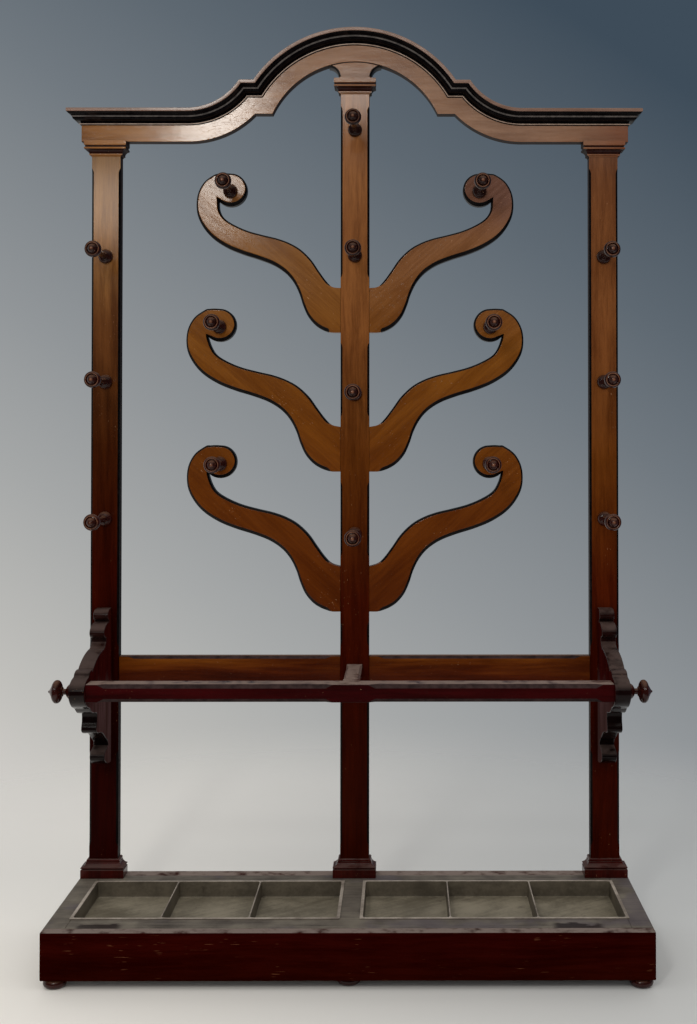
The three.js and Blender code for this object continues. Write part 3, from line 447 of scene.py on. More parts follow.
def quarter(start, end, corner, steps):  # a quarter ellipse that bulges towards the corner
    spots = []
    for i in range(steps + 1):
        angle = math.pi / 2 * i / steps
        spots.append(tuple(start[k] + end[k] - corner[k] + (corner[k] - end[k]) * math.cos(angle)
                           + (corner[k] - start[k]) * math.sin(angle) for k in (0, 1)))
    return spots


def curveThrough(spots, steps):  # a smooth line through the given points
    line = []
    for i in range(len(spots) - 1):
        a, b = Vector(spots[max(i - 1, 0)]), Vector(spots[i])
        c, d = Vector(spots[i + 1]), Vector(spots[min(i + 2, len(spots) - 1)])
        for k in range(steps):
            t = k / steps
            line.append(tuple(0.5 * ((2 * b) + (c - a) * t + (2 * a - 5 * b + 4 * c - d) * t * t
                                     + (3 * b - a - 3 * c + d) * t * t * t)))
    return line + [tuple(spots[-1])]


def easedEnds(low, high, edge):  # where the rings of an eased board stand, and how far in each is
    return [(low, edge), (low + edge * 0.35, edge * 0.35), (low + edge, 0),
            (high - edge, 0), (high - edge * 0.35, edge * 0.35), (high, edge)]


def plank(x, y, z, edge, axis=0):  # a board with eased edges, made along one axis
    spans = [x, y, z]
    first, second = [span for k, span in enumerate(spans) if k != axis]
    rings = []
    for at, inside in easedEnds(*spans[axis], edge):
        corners = [(first[i] + inside * (1 - 2 * i), second[j] + inside * (1 - 2 * j))
                   for i, j in ((0, 0), (1, 0), (1, 1), (0, 1))]
        ring = [[u, v] for u, v in softened(corners, edge * 1.4, 3)]
        for spot in ring:
            spot.insert(axis, at)
        rings.append(ring)
    return loft(rings)


def about(centre, width):  # the two limits of a width
    return (centre - width / 2, centre + width / 2)


def mirrored(pair, sign):
    return pair if sign > 0 else (-pair[1], -pair[0])


# Base box

base = {"apron": 25, "backRail": 32, "endRail": 46, "centreRail": 50, "board": 22,
        "frontBoard": 52, "backBoard": 44, "edge": 1.6, "boardEdge": 0.8}


def makeBase():
    outer, top = stand["baseHalf"], stand["baseTop"]
    inner = outer - base["endRail"]
    apronBack = stand["baseFront"] + base["apron"]
    railFront = stand["baseBack"] - base["backRail"]
    boardBack = apronBack + base["frontBoard"]
    boardFront = railFront - base["backBoard"]
    between = (apronBack + fit, railFront - fit)
    rails = {"front_rail": ((-outer, outer), (stand["baseFront"], apronBack)),
             "back_rail": ((-outer, outer), (railFront, stand["baseBack"])),
             "left_end": ((-outer, -inner), between), "right_end": ((inner, outer), between),
             "centre_rail": (about(0, base["centreRail"]), (boardBack + fit, boardFront - fit))}
    for name, (x, y) in rails.items():
        axis = 1 if y[1] - y[0] > base["endRail"] else 0  # the ends and the centre rail run back
        bm = plank(x, y, (stand["footHeight"], top), base["edge"], axis)
        finished("wood_base_" + name, bm, [dusty if axis else woods["base"]],
                 ["base_" + name])
    for name, y in (("base_top_front", (apronBack + fit, boardBack)),
                    ("base_top_back", (boardFront, railFront - fit))):
        bm = plank((-inner + fit, inner - fit), y, (top - base["board"], top), base["boardEdge"])
        finished("wood_" + name, bm, [dusty], [name])


makeBase()
print("base ready")


# Drip trays

tray = {"inner": 25, "outer": 590, "front": -113, "back": 114, "clearance": 1, "sheet": 2, "divider": 3,
        "lap": 4, "rim": 2, "depth": 38, "cells": 3, "corner": 6, "lip": 1.1, "cornerSteps": 4}


def roundedBox(x, y, z, radius):
    centres = ((x[1] - radius, y[1] - radius), (x[0] + radius, y[1] - radius),
               (x[0] + radius, y[0] + radius), (x[1] - radius, y[0] + radius))
    spots = []
    for corner, (cx, cy) in enumerate(centres):
        for k in range(tray["cornerSteps"] + 1):
            angle = math.pi / 2 * (corner + k / tray["cornerSteps"])
            spots.append((cx + radius * math.cos(angle), cy + radius * math.sin(angle), z))
    return spots


def makeTray(name, sign):
    bm = bmesh.new()
    top = stand["baseTop"] + fit + tray["rim"]
    gap, lap, sheet, divider = (tray[key] for key in ("clearance", "lap", "sheet", "divider"))
    x = (tray["inner"] + gap, tray["outer"] - gap)
    y = (tray["front"] + gap, tray["back"] - gap)
    rimX = (tray["inner"] - lap, tray["outer"] + lap)
    rimY = (tray["front"] - lap, tray["back"] + lap)
    last = tray["cells"] - 1
    width = (x[1] - x[0] - 2 * sheet - last * divider) / tray["cells"]
    floor = top - tray["depth"] + sheet
    section = ((tray["lip"], top), (tray["lip"] * 0.3, top - 0.35), (0, top - 1.2),
               (0, floor + 4), (-1.2, floor + 1.2), (-4, floor))  # of a cell: how far out, how high
    for i in range(tray["cells"]):
        low = x[0] + sheet + i * (width + divider)
        high = low + width
        frameX = (low - divider / 2 if i else rimX[0], high + divider / 2 if i < last else rimX[1])
        rings = [roundedBox(frameX, rimY, top - 0.5, 0.01)]
        for out, z in section:
            rings.append(roundedBox((low - out, high + out), (y[0] + sheet - out, y[1] - sheet + out), z,
                                    tray["corner"] + out))
        loft([[(sign * px, py, pz) for px, py, pz in ring] for ring in rings],
             lambda k, j: 1 if k < 3 else 0, (None, 0), bm)
    bmesh.ops.remove_doubles(bm, verts=bm.verts, dist=weld["tray"])
    bmesh.ops.dissolve_degenerate(bm, edges=bm.edges, dist=weld["mesh"])
    steps = [((rimX, rimY), top - tray["rim"]), ((x, y), top - tray["rim"]), ((x, y), top - tray["depth"])]
    for (limitX, limitY), z in steps:  # from the rim round and down to the underside
        rim = [edge for edge in bm.edges if edge.is_boundary]
        limits = mirrored(limitX, sign)
        for vert in bmesh.ops.extrude_edge_only(bm, edges=rim)["geom"]:
            if isinstance(vert, bmesh.types.BMVert):
                vert.co.x = min(max(vert.co.x, limits[0] * mm), limits[1] * mm)
                vert.co.y = min(max(vert.co.y, limitY[0] * mm), limitY[1] * mm)
                vert.co.z = z * mm
    bmesh.ops.holes_fill(bm, edges=[edge for edge in bm.edges if edge.is_boundary])
    finished("tray_" + name, bm, [trayPaint, trayRim], ["drip_tray_" + name], name + "_tray")


for sideName, sideSign in sides.items():
    makeTray(sideName, sideSign)
print("trays ready")


# Posts with stopped chamfers, their plinth blocks and capitals

post = {"foot": 119.3, "sideTop": 1834.7, "centreTop": 1982.2, "chamfer": 4.5, "chamferDeep": 3.2,
        "stop": 25, "stopLength": 10, "stopSteps": 8, "belowRail": 123, "plain": 0.6, "backEdge": 0.9,
        "footPlain": 46, "headPlain": 4}
arms = {
    "lower": {"foot": 733, "reach": 360.5, "rise": 390, "eye": 282},
    "middle": {"foot": 1060, "reach": 362.5, "rise": 383, "eye": 284},
    "upper": {"foot": 1386, "reach": 339.5, "rise": 375, "eye": 259},
}
armRoot = 105
midRail = {"top": 629, "low": 557, "front": 156, "back": 178, "chamfer": 6, "stop": 28}


def chamferAt(z, plainParts):  # share of the full chamfer, which stops short of each plain part
    nearest = min(max(low - z, z - high) for low, high in plainParts)
    return unit((nearest - post["stop"]) / post["stopLength"]) ** 0.5


def makePost(name, x, top, plainParts, wood):
    levels = {post["foot"], top}
    for low, high in plainParts:
        for k in range(post["stopSteps"] + 1):
            away = post["stop"] + post["stopLength"] * k / post["stopSteps"]
            levels.update((low - away, high + away))
    levels = sorted(h for h in levels if post["foot"] <= h <= top)
    cuts = [chamferAt(h, plainParts) for h in levels]
    plain, back = post["plain"], post["backEdge"]
    rings = []
    for height, cut in zip(levels, cuts):
        wide, deep = (plain + (post[key] - plain) * cut for key in ("chamfer", "chamferDeep"))
        ring = [(-half + wide, postFront), (half - wide, postFront), (half, postFront + deep),
                (half, postBack - back), (half - back, postBack), (-half + back, postBack),
                (-half, postBack - back), (-half, postFront + deep)]
        rings.append([(x + u, v, height) for u, v in ring])

    # sides get the dark finish with painted shade
    def face(i, j):  # shaded sides, black chamfers
        if j in (2, 6):
            return 2
        return 1 if j in (1, 7) and cuts[i] + cuts[i + 1] > 0.1 else 0
    finished("post_board_" + name, loft(rings, face), [woods[wood], blackEdge, woods["side"]],
             ["post_" + name])


def collar(name, x, z, outline, finishes, node, material=None):
    stations = [[(x + side * (half + p), postBack if atBack else postFront - p, z + h) for p, h in outline]
                for side, atBack in ((-1, True), (-1, False), (1, False), (1, True))]
    # the returns take the dark side finish, dark with painted shade
    face = (lambda i, j: material[j] if i == 1 else 2) if material else None  # the returns are dark
    finished(name, loft(stations, face), finishes, [node], sharp=28)


plinth = {"height": 41, "out": 16.5, "block": 19}
capital = {"height": 35, "out": 15.5}


def plinthOutline():
    out, block, height = plinth["out"], plinth["block"], plinth["height"]
    groove = block + 3.4
    outline = [(fit, 0), (out - 0.4, 0), (out, 0.6), (out, block - 0.6), (out - 0.6, block),
               (out * 0.74, block + 0.5), (out * 0.70, block + 1.6), (out * 0.74, groove - 0.6)]
    outline += quarter((out * 0.92, groove - 0.2), (out, groove + 1.4), (out, groove - 0.2), 3)
    outline += quarter((out * 0.95, groove + 2.6), (out * 0.34, height - 7), (out * 0.42, groove + 3.0), 7)
    outline += [(out * 0.22, height - 6.4), (out * 0.22, height - 5.2)]
    outline += quarter((out * 0.32, height - 4.8), (out * 0.14, height), (out * 0.32, height), 4)
    return outline + [(fit, height)]


def capitalOutline():
    out, height = capital["out"], capital["height"]
    outline = [(fit, 0), (1.4, 0), (1.6, 2.0), (4.6, 2.6), (5.4, 3.2), (5.4, 5.4), (4.8, 6.0), (5.0, 6.8)]
    outline += quarter((5.4, 7.4), (out - 1.2, 15.2), (6.6, 14.4), 7)
    outline += [(out - 0.6, 15.9)]
    outline += quarter((out - 0.4, 16.0), (out - 0.5, 19.6), (out + 0.7, 17.8), 4)
    outline += [(out - 1.8, 20.0), (out - 2.6, 21.2), (out - 2.4, 23.4), (out - 1.6, 24.2),
                (out - 0.6, 24.6), (out, 25.6), (out, height), (fit, height)]
    middles = [(here[1] + after[1]) / 2 for here, after in zip(outline, outline[1:] + outline[:1])]
    # the hollows take the darker bracket finish, which partly paints the shade under the mouldings
    return outline, [1 if 6.2 < h < 15.6 or 19.8 < h < 24.3 else 0 for h in middles]  # the hollows are dark


def makePosts():
    foot, height = post["foot"], capital["height"]
    rail = (midRail["low"], midRail["top"])
    atFoot = (foot, foot + post["footPlain"])
    places = {"left": (-stand["postX"], "sideTop"), "centre": (0, "centreTop"),
              "right": (stand["postX"], "sideTop")}
    capitalLine, capitalFaces = capitalOutline()
    for name, (x, topName) in places.items():
        top = post[topName]
        plain = [atFoot, (top - height - post["headPlain"], top)]
        if name == "centre":
            plain += [rail] + [(tier["foot"], tier["foot"] + armRoot) for tier in arms.values()]
        else:
            plain.append((rail[0] - post["belowRail"], rail[1]))
        makePost(name, x, top, plain, name)
        collar("plinth_" + name, x, foot, plinthOutline(), [woods["bracket"]],
               "plinth_block_" + name)
        collar("capital_moulding_" + name, x, top - height, capitalLine,
               [woods["crest"], woods["bracket"], woods["side"]], "capital_" + name,
               capitalFaces)


makePosts()
print("posts ready")


# Crest board, cornice and head block

crest = {"half": 642.5, "thick": 28, "frieze": 38, "cornice": 35, "out": 29.5, "sweepX": 392,
         "sweepRadius": 220, "ledge": 1901, "sweepSteps": 22, "archSteps": 44}


def arcLine(centre, radius, first, last, steps):  # angles from the x axis
    angles = (first + (last - first) * i / steps for i in range(steps + 1))
    return [(centre[0] + radius * math.cos(turn), centre[1] + radius * math.sin(turn)) for turn in angles]


def crestLine(above):
    line = [(crest["half"], stand["crestUnder"] + above)]
    sweepZ = stand["crestUnder"] + crest["sweepRadius"]
    sweep = crest["sweepRadius"] - above
    down = -math.pi / 2
    last = down - math.acos((sweepZ - crest["ledge"] - above) / sweep)
    line += arcLine((crest["sweepX"], sweepZ), sweep, down, last, crest["sweepSteps"])
    arch = stand["archRadius"] + above
    first = math.asin((crest["ledge"] + above - stand["archCentre"]) / arch)
    return line + arcLine((0, stand["archCentre"]), arch, first, math.pi / 2, crest["archSteps"])


arris = {  # how an edge is worked: shares of its size, inwards and back from the front
    "eased": ((1.0, 0.0), (0.3, 0.3), (0.0, 1.0)),
    "chamfered": ((1.12, 0.0), (0.92, 0.1), (0.1, 0.92), (0.0, 1.1)),
}
plainEdge = 0.9  # easing of a plain edge


def slab(outline, front, thick, edges, face, work="eased"):  # an outline in XZ with worked edges
    back = front + thick
    rings = []
    for inwards, deep in arris[work]:
        inner = inset(outline, [inwards * e for e in edges])
        rings.append([(px, front + deep * e, pz) for (px, pz), e in zip(inner, edges)])
    rings.append([(px, back - plainEdge, pz) for px, pz in outline])
    rings.append([(px, back, pz) for px, pz in inset(outline, [plainEdge] * len(outline))])
    return loft(rings, face)


def makeCrestBoard():
    right = crestLine(0)
    upper = crestLine(crest["frieze"] + crest["cornice"])
    lowerLine = [(-px, pz) for px, pz in right[:-1]] + right[::-1]
    outline = lowerLine + upper + [(-px, pz) for px, pz in upper[:-1]][::-1]

    # the underside takes the dark side finish, painted shade
    def face(i, j):  # the underside is dark
        return 1 if i >= 1 and j < len(lowerLine) - 1 else 0
    bm = slab(outline, postFront, crest["thick"], [plainEdge] * len(outline), face)
    finished("crest_wood", bm, [woods["crest"], woods["side"]], ["crest_board"])


def corniceOutline():  # each point with the finish of the part that follows it
    out, high = crest["out"], crest["cornice"]
    parts = [
        (1, [(0, 0.0), (0.9, 0.2), (1.0, 1.5)]),
        (3, [(3.3, 1.8), (3.8, 2.3), (3.8, 3.6), (3.3, 4.1)]),
        (1, [(1.3, 4.6), (1.0, 5.8), (1.4, 7.4), (2.4, 8.3)]),
        (1, quarter((3.2, 8.4), (17.0, 15.0), (17.0, 8.6), 9)),
        # this strip of the ovolo carries the painted highlight
        (2, [(17.4, 16.2), (18.1, 18.0)]),
        (1, [(18.6, 19.4), (19.5, 21.0)]),
        (1, quarter((20.2, 21.5), (27.6, 26.2), (24.6, 21.9), 5) + [(28.3, 26.6)]),
        (0, [(28.8, 27.2), (out - 0.1, 28.6), (out - 0.1, high - 0.8), (out - 0.8, high), (0, high)]),
    ]
    outline = [spot for finish, spots in parts for spot in spots]
    materials = [finish for finish, spots in parts for spot in spots]
    return outline, materials[:-1] + [1]


def corniceStation(outline, station, sign, gap=0.0):
    spots = [(crestLine(crest["frieze"] + h)[station], p) for p, h in outline]
    return [(sign * (px + gap), postFront - fit - p, pz) for (px, pz), p in spots]


def makeCornice():
    outline, materials = corniceOutline()
    lastSweep = crest["sweepSteps"] + 1
    corner = crest["half"] + fit
    level = stand["crestUnder"] + crest["frieze"]

    def face(i, j):  # the returns are black under the fascia
        return materials[j] if i > 0 or materials[j] == 0 else 1
    finishes = [woods["fascia"], ebonised, highlightStrip, paleLine]
    for name, sign in sides.items():
        stations = [[(sign * (corner + p), y - p * forward, level + h) for p, h in outline]
                    for y, forward in ((postFront + crest["thick"], 0), (postFront - fit, 1))]
        for k in range(1, lastSweep + 1):
            stations.append(corniceStation(outline, k, sign, fit / 2 if k == lastSweep else 0.0))
        finished("cornice_end_" + name, loft(stations, face), finishes, ["cornice_" + name],
                 sharp=28)
    top = crest["archSteps"] + 1
    stations = []
    for k in range(2 * top + 1):
        station = lastSweep + (k if k < top else 2 * top - k)
        gap = -fit / 2 if station == lastSweep else 0.0
        stations.append(corniceStation(outline, station, -1 if k < top else 1, gap))
    finished("cornice_over_arch", loft(stations, lambda i, j: materials[j]), finishes,
             ["cornice_arch"], sharp=28)


headBlock = {"base": 76, "top": 123, "edge": 0.9, "cove": 5.5, "joint": 1.8, "arcSteps": 18}


def makeHeadBlock():
    rim = stand["archRadius"] - fit
    wide = headBlock["top"] / 2
    narrow = headBlock["base"] / 2
    start = math.asin(wide / rim)
    shoulder = stand["archCentre"] + rim * math.cos(start)
    low = post["centreTop"] + fit
    flare = [(narrow, low), (narrow + 0.4, low + 6)]
    flare += quarter((narrow + 1.2, low + 9), (wide - 1, shoulder - 4), (narrow + 3, shoulder - 5), 10)
    flare.append((wide, shoulder - 2))
    up = math.pi / 2
    arc = arcLine((0, stand["archCentre"]), rim, up - start, up + start, headBlock["arcSteps"])
    outline = flare + arc + [(-px, pz) for px, pz in flare[::-1]]
    cove = [headBlock["edge"]] + [headBlock["cove"]] * (len(flare) - 1)
    edges = cove + [headBlock["joint"]] * len(arc) + cove[::-1]

    def face(i, j):  # black but for the foot
        return 1 if 1 <= j < len(outline) - 2 else 0
    bm = slab(outline, postFront, crest["thick"], edges, face)
    finished("head_block_wood", bm, [woods["crest"], blackEdge], ["centre_head_block"])


makeCrestBoard()
makeCornice()
makeHeadBlock()
print("crest ready")


# Scrolled arms

arm = {"thick": 26, "setBack": 1, "plain": 0.5, "chamfer": 4.4, "underside": 4.4, "stopFrom": 20,
       "stopTo": 32, "steps": 6, "eyeRise": 0.886}
armLowerEdge = [
    (0, 0), (0.081, 0.004), (0.162, 0.039), (0.223, 0.099), (0.26, 0.172), (0.286, 0.244), (0.325, 0.315),
    (0.381, 0.375), (0.463, 0.425), (0.566, 0.462), (0.68, 0.495), (0.791, 0.537), (0.892, 0.598),
    (0.96, 0.673), (0.996, 0.757), (0.993, 0.861), (0.949, 0.943), (0.877, 0.992),
]
armUpperEdge = [
    (0.839, 0.768), (0.805, 0.718), (0.74, 0.678), (0.645, 0.64), (0.538, 0.613), (0.438, 0.591),
    (0.352, 0.562), (0.276, 0.521), (0.205, 0.458), (0.15, 0.386), (0.101, 0.325), (0.058, 0.287),
]
armScroll = {"up": 4.5, "radius": 38.5, "from": 100, "to": 305, "steps": 41}
armCrown = [(24.5, 42.8), (11.7, 43.6)]  # the outer edge above the scroll, from the peg's centre
armNotch = (28, -22)  # where the scroll's hollow ends, from the peg's centre


def armEye(tier):
    return (tier["eye"], tier["rise"] * arm["eyeRise"])


def armOutline(tier):
    def shaped(edge):
        return [(px * tier["reach"], pz * tier["rise"]) for px, pz in edge]

    def fromPeg(spots):
        return [(eye[0] + px, eye[1] + pz) for px, pz in spots]
    eye = armEye(tier)
    first, last = (math.radians(armScroll[key]) for key in ("from", "to"))
    scroll = arcLine((eye[0], eye[1] + armScroll["up"]), armScroll["radius"], first, last,
                     armScroll["steps"])
    outside = shaped(armLowerEdge) + fromPeg(armCrown) + scroll[:1]
    inside = fromPeg([armNotch]) + shaped(armUpperEdge) + [(0, armRoot)]
    return curveThrough(outside, arm["steps"])[:-1] + scroll + curveThrough(inside, arm["steps"])


def makeArm(tierName, tier, sideName, sign):
    outline = armOutline(tier)
    count = len(outline)
    shares = [unit((px - arm["stopFrom"]) / (arm["stopTo"] - arm["stopFrom"])) for px, pz in outline]
    edges = []
    for i, share in enumerate(shares):  # the black band is wider where the edge looks down
        along = Vector(outline[(i + 1) % count]) - Vector(outline[i - 1])
        down = max(0.0, along.normalized().x)
        edges.append(arm["plain"] + (arm["chamfer"] + arm["underside"] * down - arm["plain"]) * share)
    shrink = 1 - fit / tier["reach"]
    outline = [(sign * (half + fit + px * shrink), tier["foot"] + pz) for px, pz in outline]

    def face(i, j):  # a black band, which stops short of the post
        return 1 if shares[j] + shares[(j + 1) % count] > 0.9 and i > 0 else 0
    bm = slab(outline, postFront + arm["setBack"], arm["thick"], edges, face, "chamfered")
    name = "arm_%s_%s" % (tierName, sideName)
    finished(name, bm, [woods["armLeft" if sign < 0 else "armRight"], blackEdge],
             ["scroll_" + name])


for tierName, tier in arms.items():
    for sideName, sideSign in sides.items():
        makeArm(tierName, tier, sideName, sideSign)
print("arms ready")


# Rails, centre arm and side brackets

stick = {"z": 592, "y": -75, "high": 38, "deep": 46, "chamfer": 8, "stopEnd": 32, "stopCentre": 46}
centreArm = {"wide": 36, "high": 34, "chamfer": 5, "plainEnd": 16, "fullFrom": 26}
railCut = {"plain": 0.8, "end": 0.6, "stopLength": 14, "stopSteps": 6}
bracket = {"thick": 34, "edge": 1.4}


def stopShare(at, runs):  # 1 inside the runs, 0 outside, easing over the stop
    return max(unit(min(at - low, high - at) / railCut["stopLength"] + 0.5) for low, high in runs)


def chamferedRail(name, x, y, z, cuts, runs, wood, node):
    low, high = x
    plain, end, steps = railCut["plain"], railCut["end"], railCut["stopSteps"]
    marks = {low, low + end, high - end, high}
    for stop in [stop for run in runs for stop in run]:
        marks.update(stop + railCut["stopLength"] * (k / steps - 0.5) for k in range(steps + 1))
    rings = []
    for at in sorted(m for m in marks if low <= m <= high):
        upper, lower = (plain + (cut - plain) * stopShare(at, runs) for cut in cuts)
        inside = end if at in (low, high) else 0.0
        front, back, under, top = y[0] + inside, y[1] - inside, z[0] + inside, z[1] - inside
        ring = [(front, z[0] + lower), (front, z[1] - upper), (y[0] + upper, top), (y[1] - plain, top),
                (back, z[1] - plain), (back, z[0] + plain), (y[1] - plain, under), (y[0] + lower, under)]
        rings.append([(at, v, w) for v, w in ring])
    finished(name, loft(rings, lambda i, j: 1 if j in (1, 7) else 0), [wood, railChamfer],
             [node])


def makeRails():
    inner, outer = half + fit, stand["postX"] - half - fit
    y, z = (midRail["front"], midRail["back"]), (midRail["low"], midRail["top"])
    for name, sign in sides.items():
        run = mirrored((inner + midRail["stop"], outer - midRail["stop"]), sign)
        chamferedRail("mid_rail_wood_" + name, mirrored((inner, outer), sign), y, z,
                      (midRail["chamfer"], railCut["plain"]), [run], woods["midRail"], "mid_rail_" + name)
    end = stand["postX"] - bracket["thick"] / 2 - fit
    runs = [(stick["stopCentre"], end - stick["stopEnd"]), (stick["stopEnd"] - end, -stick["stopCentre"])]
    y, z = about(stick["y"], stick["deep"]), about(stick["z"], stick["high"])
    chamferedRail("stick_rail_wood", (-end, end), y, z, (stick["chamfer"],) * 2, runs, woods["rail"],
                  "stick_rail")


def makeCentreArm():
    plain, wide = railCut["plain"], centreArm["wide"] / 2
    top = stick["z"] + stick["high"] / 2
    low = top - centreArm["high"]
    start, finish = stick["y"] + stick["deep"] / 2 + fit, postFront - fit
    short, long = centreArm["plainEnd"], centreArm["fullFrom"]
    rings = []
    for at, share in ((start, 0), (start + short, 0), (start + long, 1),
                      (finish - long, 1), (finish - short, 0), (finish, 0)):
        cut = plain + (centreArm["chamfer"] - plain) * share
        ring = [(-wide, low + plain), (-wide, top - cut), (-wide + cut, top), (wide - cut, top),
                (wide, top - cut), (wide, low + plain), (wide - plain, low), (-wide + plain, low)]
        rings.append([(u, at, v) for u, v in ring])
    finished("centre_arm_wood", loft(rings), [woods["rail"]], ["stick_rail_centre_arm"])


bracketCurves = [  # reach from the post and height above the stick rail, one smooth run at a time
    [(0.3, 151), (16, 151), (28, 149), (37, 143), (39, 134), (34, 127.5)],
    [(25, 125), (25, 121.5)],
    [(41, 121.4), (58, 118), (71, 110), (75, 102), (72, 95), (64, 90.5)],
    [(55, 89), (54, 80)],
    [(57, 78), (66, 71), (80, 66.5)],
    [(84, 67.5), (110, 64), (138, 57), (160, 48), (174, 40)],
    [(178, 36), (183, 36)],
    [(187, 41), (200, 39.5), (208, 36.5), (212, 31.5)],
    [(216, 29.5), (233, 26.5), (247, 20.5), (256.5, 11), (259.5, 0), (256.5, -10), (247, -21), (233, -31),
     (218, -37)],
    [(214, -38), (205, -42), (198, -47), (186, -54), (168, -59), (150, -62)],
    [(142, -65), (140, -72), (141, -84), (146, -96), (146, -103), (138, -109), (126, -112.5), (106, -116)],
    [(90, -120), (77, -126.5), (56, -139), (38, -149), (30, -158)],
    [(31, -161.5), (44, -165), (60, -169.5), (68, -178), (66, -187), (55, -195), (38, -202), (18, -206),
     (0.3, -207)],
]


def makeBracket(name, sign):
    outline = [spot for run in bracketCurves for spot in curveThrough(run, 4)]
    rings = []
    for across, inside in easedEnds(-bracket["thick"] / 2, bracket["thick"] / 2, bracket["edge"]):
        rings.append([(sign * stand["postX"] + across, postFront - p, stick["z"] + h)
                      for p, h in inset(outline, [inside] * len(outline))])
    finished("bracket_" + name, loft(rings, caps=(1, 1)), [woods["bracket"], woods["bracketSideSheen"]],
             ["side_bracket_" + name])


makeRails()
makeCentreArm()
for sideName, sideSign in sides.items():
    makeBracket(sideName, sideSign)
print("rails and brackets ready")


# Turned pegs, knobs and feet: one profile is turned and set at every place

peg = {"length": 145, "knob": 19, "neck": 7.5, "collar": 17, "rimBack": 19, "sides": 40, "uneven": 0.012,
       "seed": 11}
knob = {"length": 51, "ball": 25, "neck": 6.5, "ballBack": 19, "sides": 40, "uneven": 0.0, "seed": 3}
footTurned = {"high": 20, "radius": 25, "inset": 1, "centreBack": 14, "sides": 40, "uneven": 0.0, "seed": 7}
sidePegHeights = [950, 1270, 1564]
centrePegHeights = [914, 1242, 1567, 1862.7]


def turningTree():
    tree = bpy.data.node_groups.new("turned_repeats", "GeometryNodeTree")
    face = tree.interface
    for label, kind in (("Profile", "Geometry"), ("Places", "Object"), ("Sides", "Int"),
                        ("Unevenness", "Float"), ("Seed", "Int"), ("Finish", "Material")):
        face.new_socket(label, in_out="INPUT", socket_type="NodeSocket" + kind)
    face.new_socket("Turned", in_out="OUTPUT", socket_type="NodeSocketGeometry")
    graph = Graph(tree)
    given = graph.node("NodeGroupInput").output
    profile = given("Profile")
    count = graph.node("GeometryNodeAttributeDomainSize", {"Geometry": profile}, component="MESH")
    grid = graph.node("GeometryNodeMeshGrid", {
        "Size X": 1.0, "Size Y": 1.0, "Vertices X": count, "Vertices Y": given("Sides") + 1})
    where = graph.node("GeometryNodeInputPosition")
    across, around = (graph.axis(where, name) for name in "XY")
    index = graph.node("FunctionNodeFloatToInt", {0: (across + 0.5) * (count - 1) + 0.25},
                       rounding_mode="FLOOR")

    def named(name, kind):
        return graph.node("GeometryNodeInputNamedAttribute", {"Name": name}, data_type=kind)

    def sampled(value, kind):  # from the profile's point at each row of the grid
        return graph.node("GeometryNodeSampleIndex", {"Geometry": profile, "Value": value, "Index": index},
                          data_type=kind)

    def random(low, high, seed):
        return graph.node("FunctionNodeRandomValue", {2: low, 3: high, "Seed": seed}, 1, data_type="FLOAT")
    turned = graph.node("ShaderNodeVectorRotate", {
        "Vector": sampled(where, "FLOAT_VECTOR"), "Angle": (around + 0.5) * (2 * math.pi)},
        rotation_type="Z_AXIS")
    grid = graph.node("GeometryNodeStoreNamedAttribute", {
        "Geometry": grid, "Name": "wear", "Value": sampled(named("wear", "FLOAT"), "FLOAT")},
        data_type="FLOAT", domain="POINT")
    shell = graph.node("GeometryNodeSetPosition", {"Geometry": grid, "Position": turned})
    shell = graph.node("GeometryNodeMergeByDistance", {"Geometry": shell, "Distance": weld["pole"]})
    places = graph.node("GeometryNodeObjectInfo", {"Object": given("Places")}, "Geometry",
                        transform_space="RELATIVE")
    pointed = graph.node("FunctionNodeAlignRotationToVector", {"Vector": named("aim", "FLOAT_VECTOR")},
                         axis="Z")
    roll = graph.node("FunctionNodeAxisAngleToRotation", {
        "Axis": (0.0, 0.0, 1.0), "Angle": random(0.0, 2 * math.pi, given("Seed"))})
    rolled = graph.node("FunctionNodeRotateRotation", {"Rotation": pointed, "Rotate By": roll},
                        rotation_space="LOCAL")
    size = random(1 - given("Unevenness"), 1.0, given("Seed") + 5)
    whole = graph.node("GeometryNodeInstanceOnPoints", {
        "Points": places, "Instance": shell, "Rotation": rolled, "Scale": size})
    whole = graph.node("GeometryNodeRealizeInstances", {"Geometry": whole})
    whole = graph.node("GeometryNodeSetMaterial", {"Geometry": whole, "Material": given("Finish")})
    graph.node("NodeGroupOutput", {0: whole})
    return tree


def scaled(radius, along, shares):  # spots given by shares of a radius and steps along the axis
    return [(radius * share, along + step) for share, step in shares]


def pegProfile():
    length, big, neck, ring = peg["length"], peg["knob"], peg["neck"], peg["collar"]
    rim = length - peg["rimBack"]
    line = [(0, fit), (ring - 1.2, fit), (ring - 0.2, 1.2)]
    line += quarter((ring, 2.5), (neck * 1.35, 13.5), (ring * 0.98, 12.5), 8)
    line += scaled(neck, 0, [(1.3, 14.2), (1.45, 15.2), (1.42, 16.6), (1.1, 18)])
    line += curveThrough(scaled(neck, 0, [(0.98, 22), (0.88, 36), (0.92, 54), (1.15, rim - 15)]), 4)
    line += scaled(big, rim, [(0.60, -13.4), (0.66, -12), (0.62, -10.4), (0.66, -9.4)])
    line += quarter(*scaled(big, rim, [(0.80, -8.4), (1, 0), (1, -7.2)]), 6)
    line += quarter(*scaled(big, rim, [(1, 1.4), (0.83, 7.0), (0.98, 6.6)]), 6)
    line += scaled(1, rim, [(15.4, 7.4), (15.2, 8.2), (14.8, 9.0), (14.2, 9.3), (13.6, 9.0), (13.3, 8.2),
                            (12.9, 7.0), (12.0, 6.3), (11.2, 6.6)])
    line += quarter((10.8, rim + 7.6), (0, length), (9.6, length), 10)
    # the bead ring is worn paler; the spot at the tip of the dome is a painted highlight
    return line, [(14.2, rim + 9.3, 1.5), (0, length, 5)]


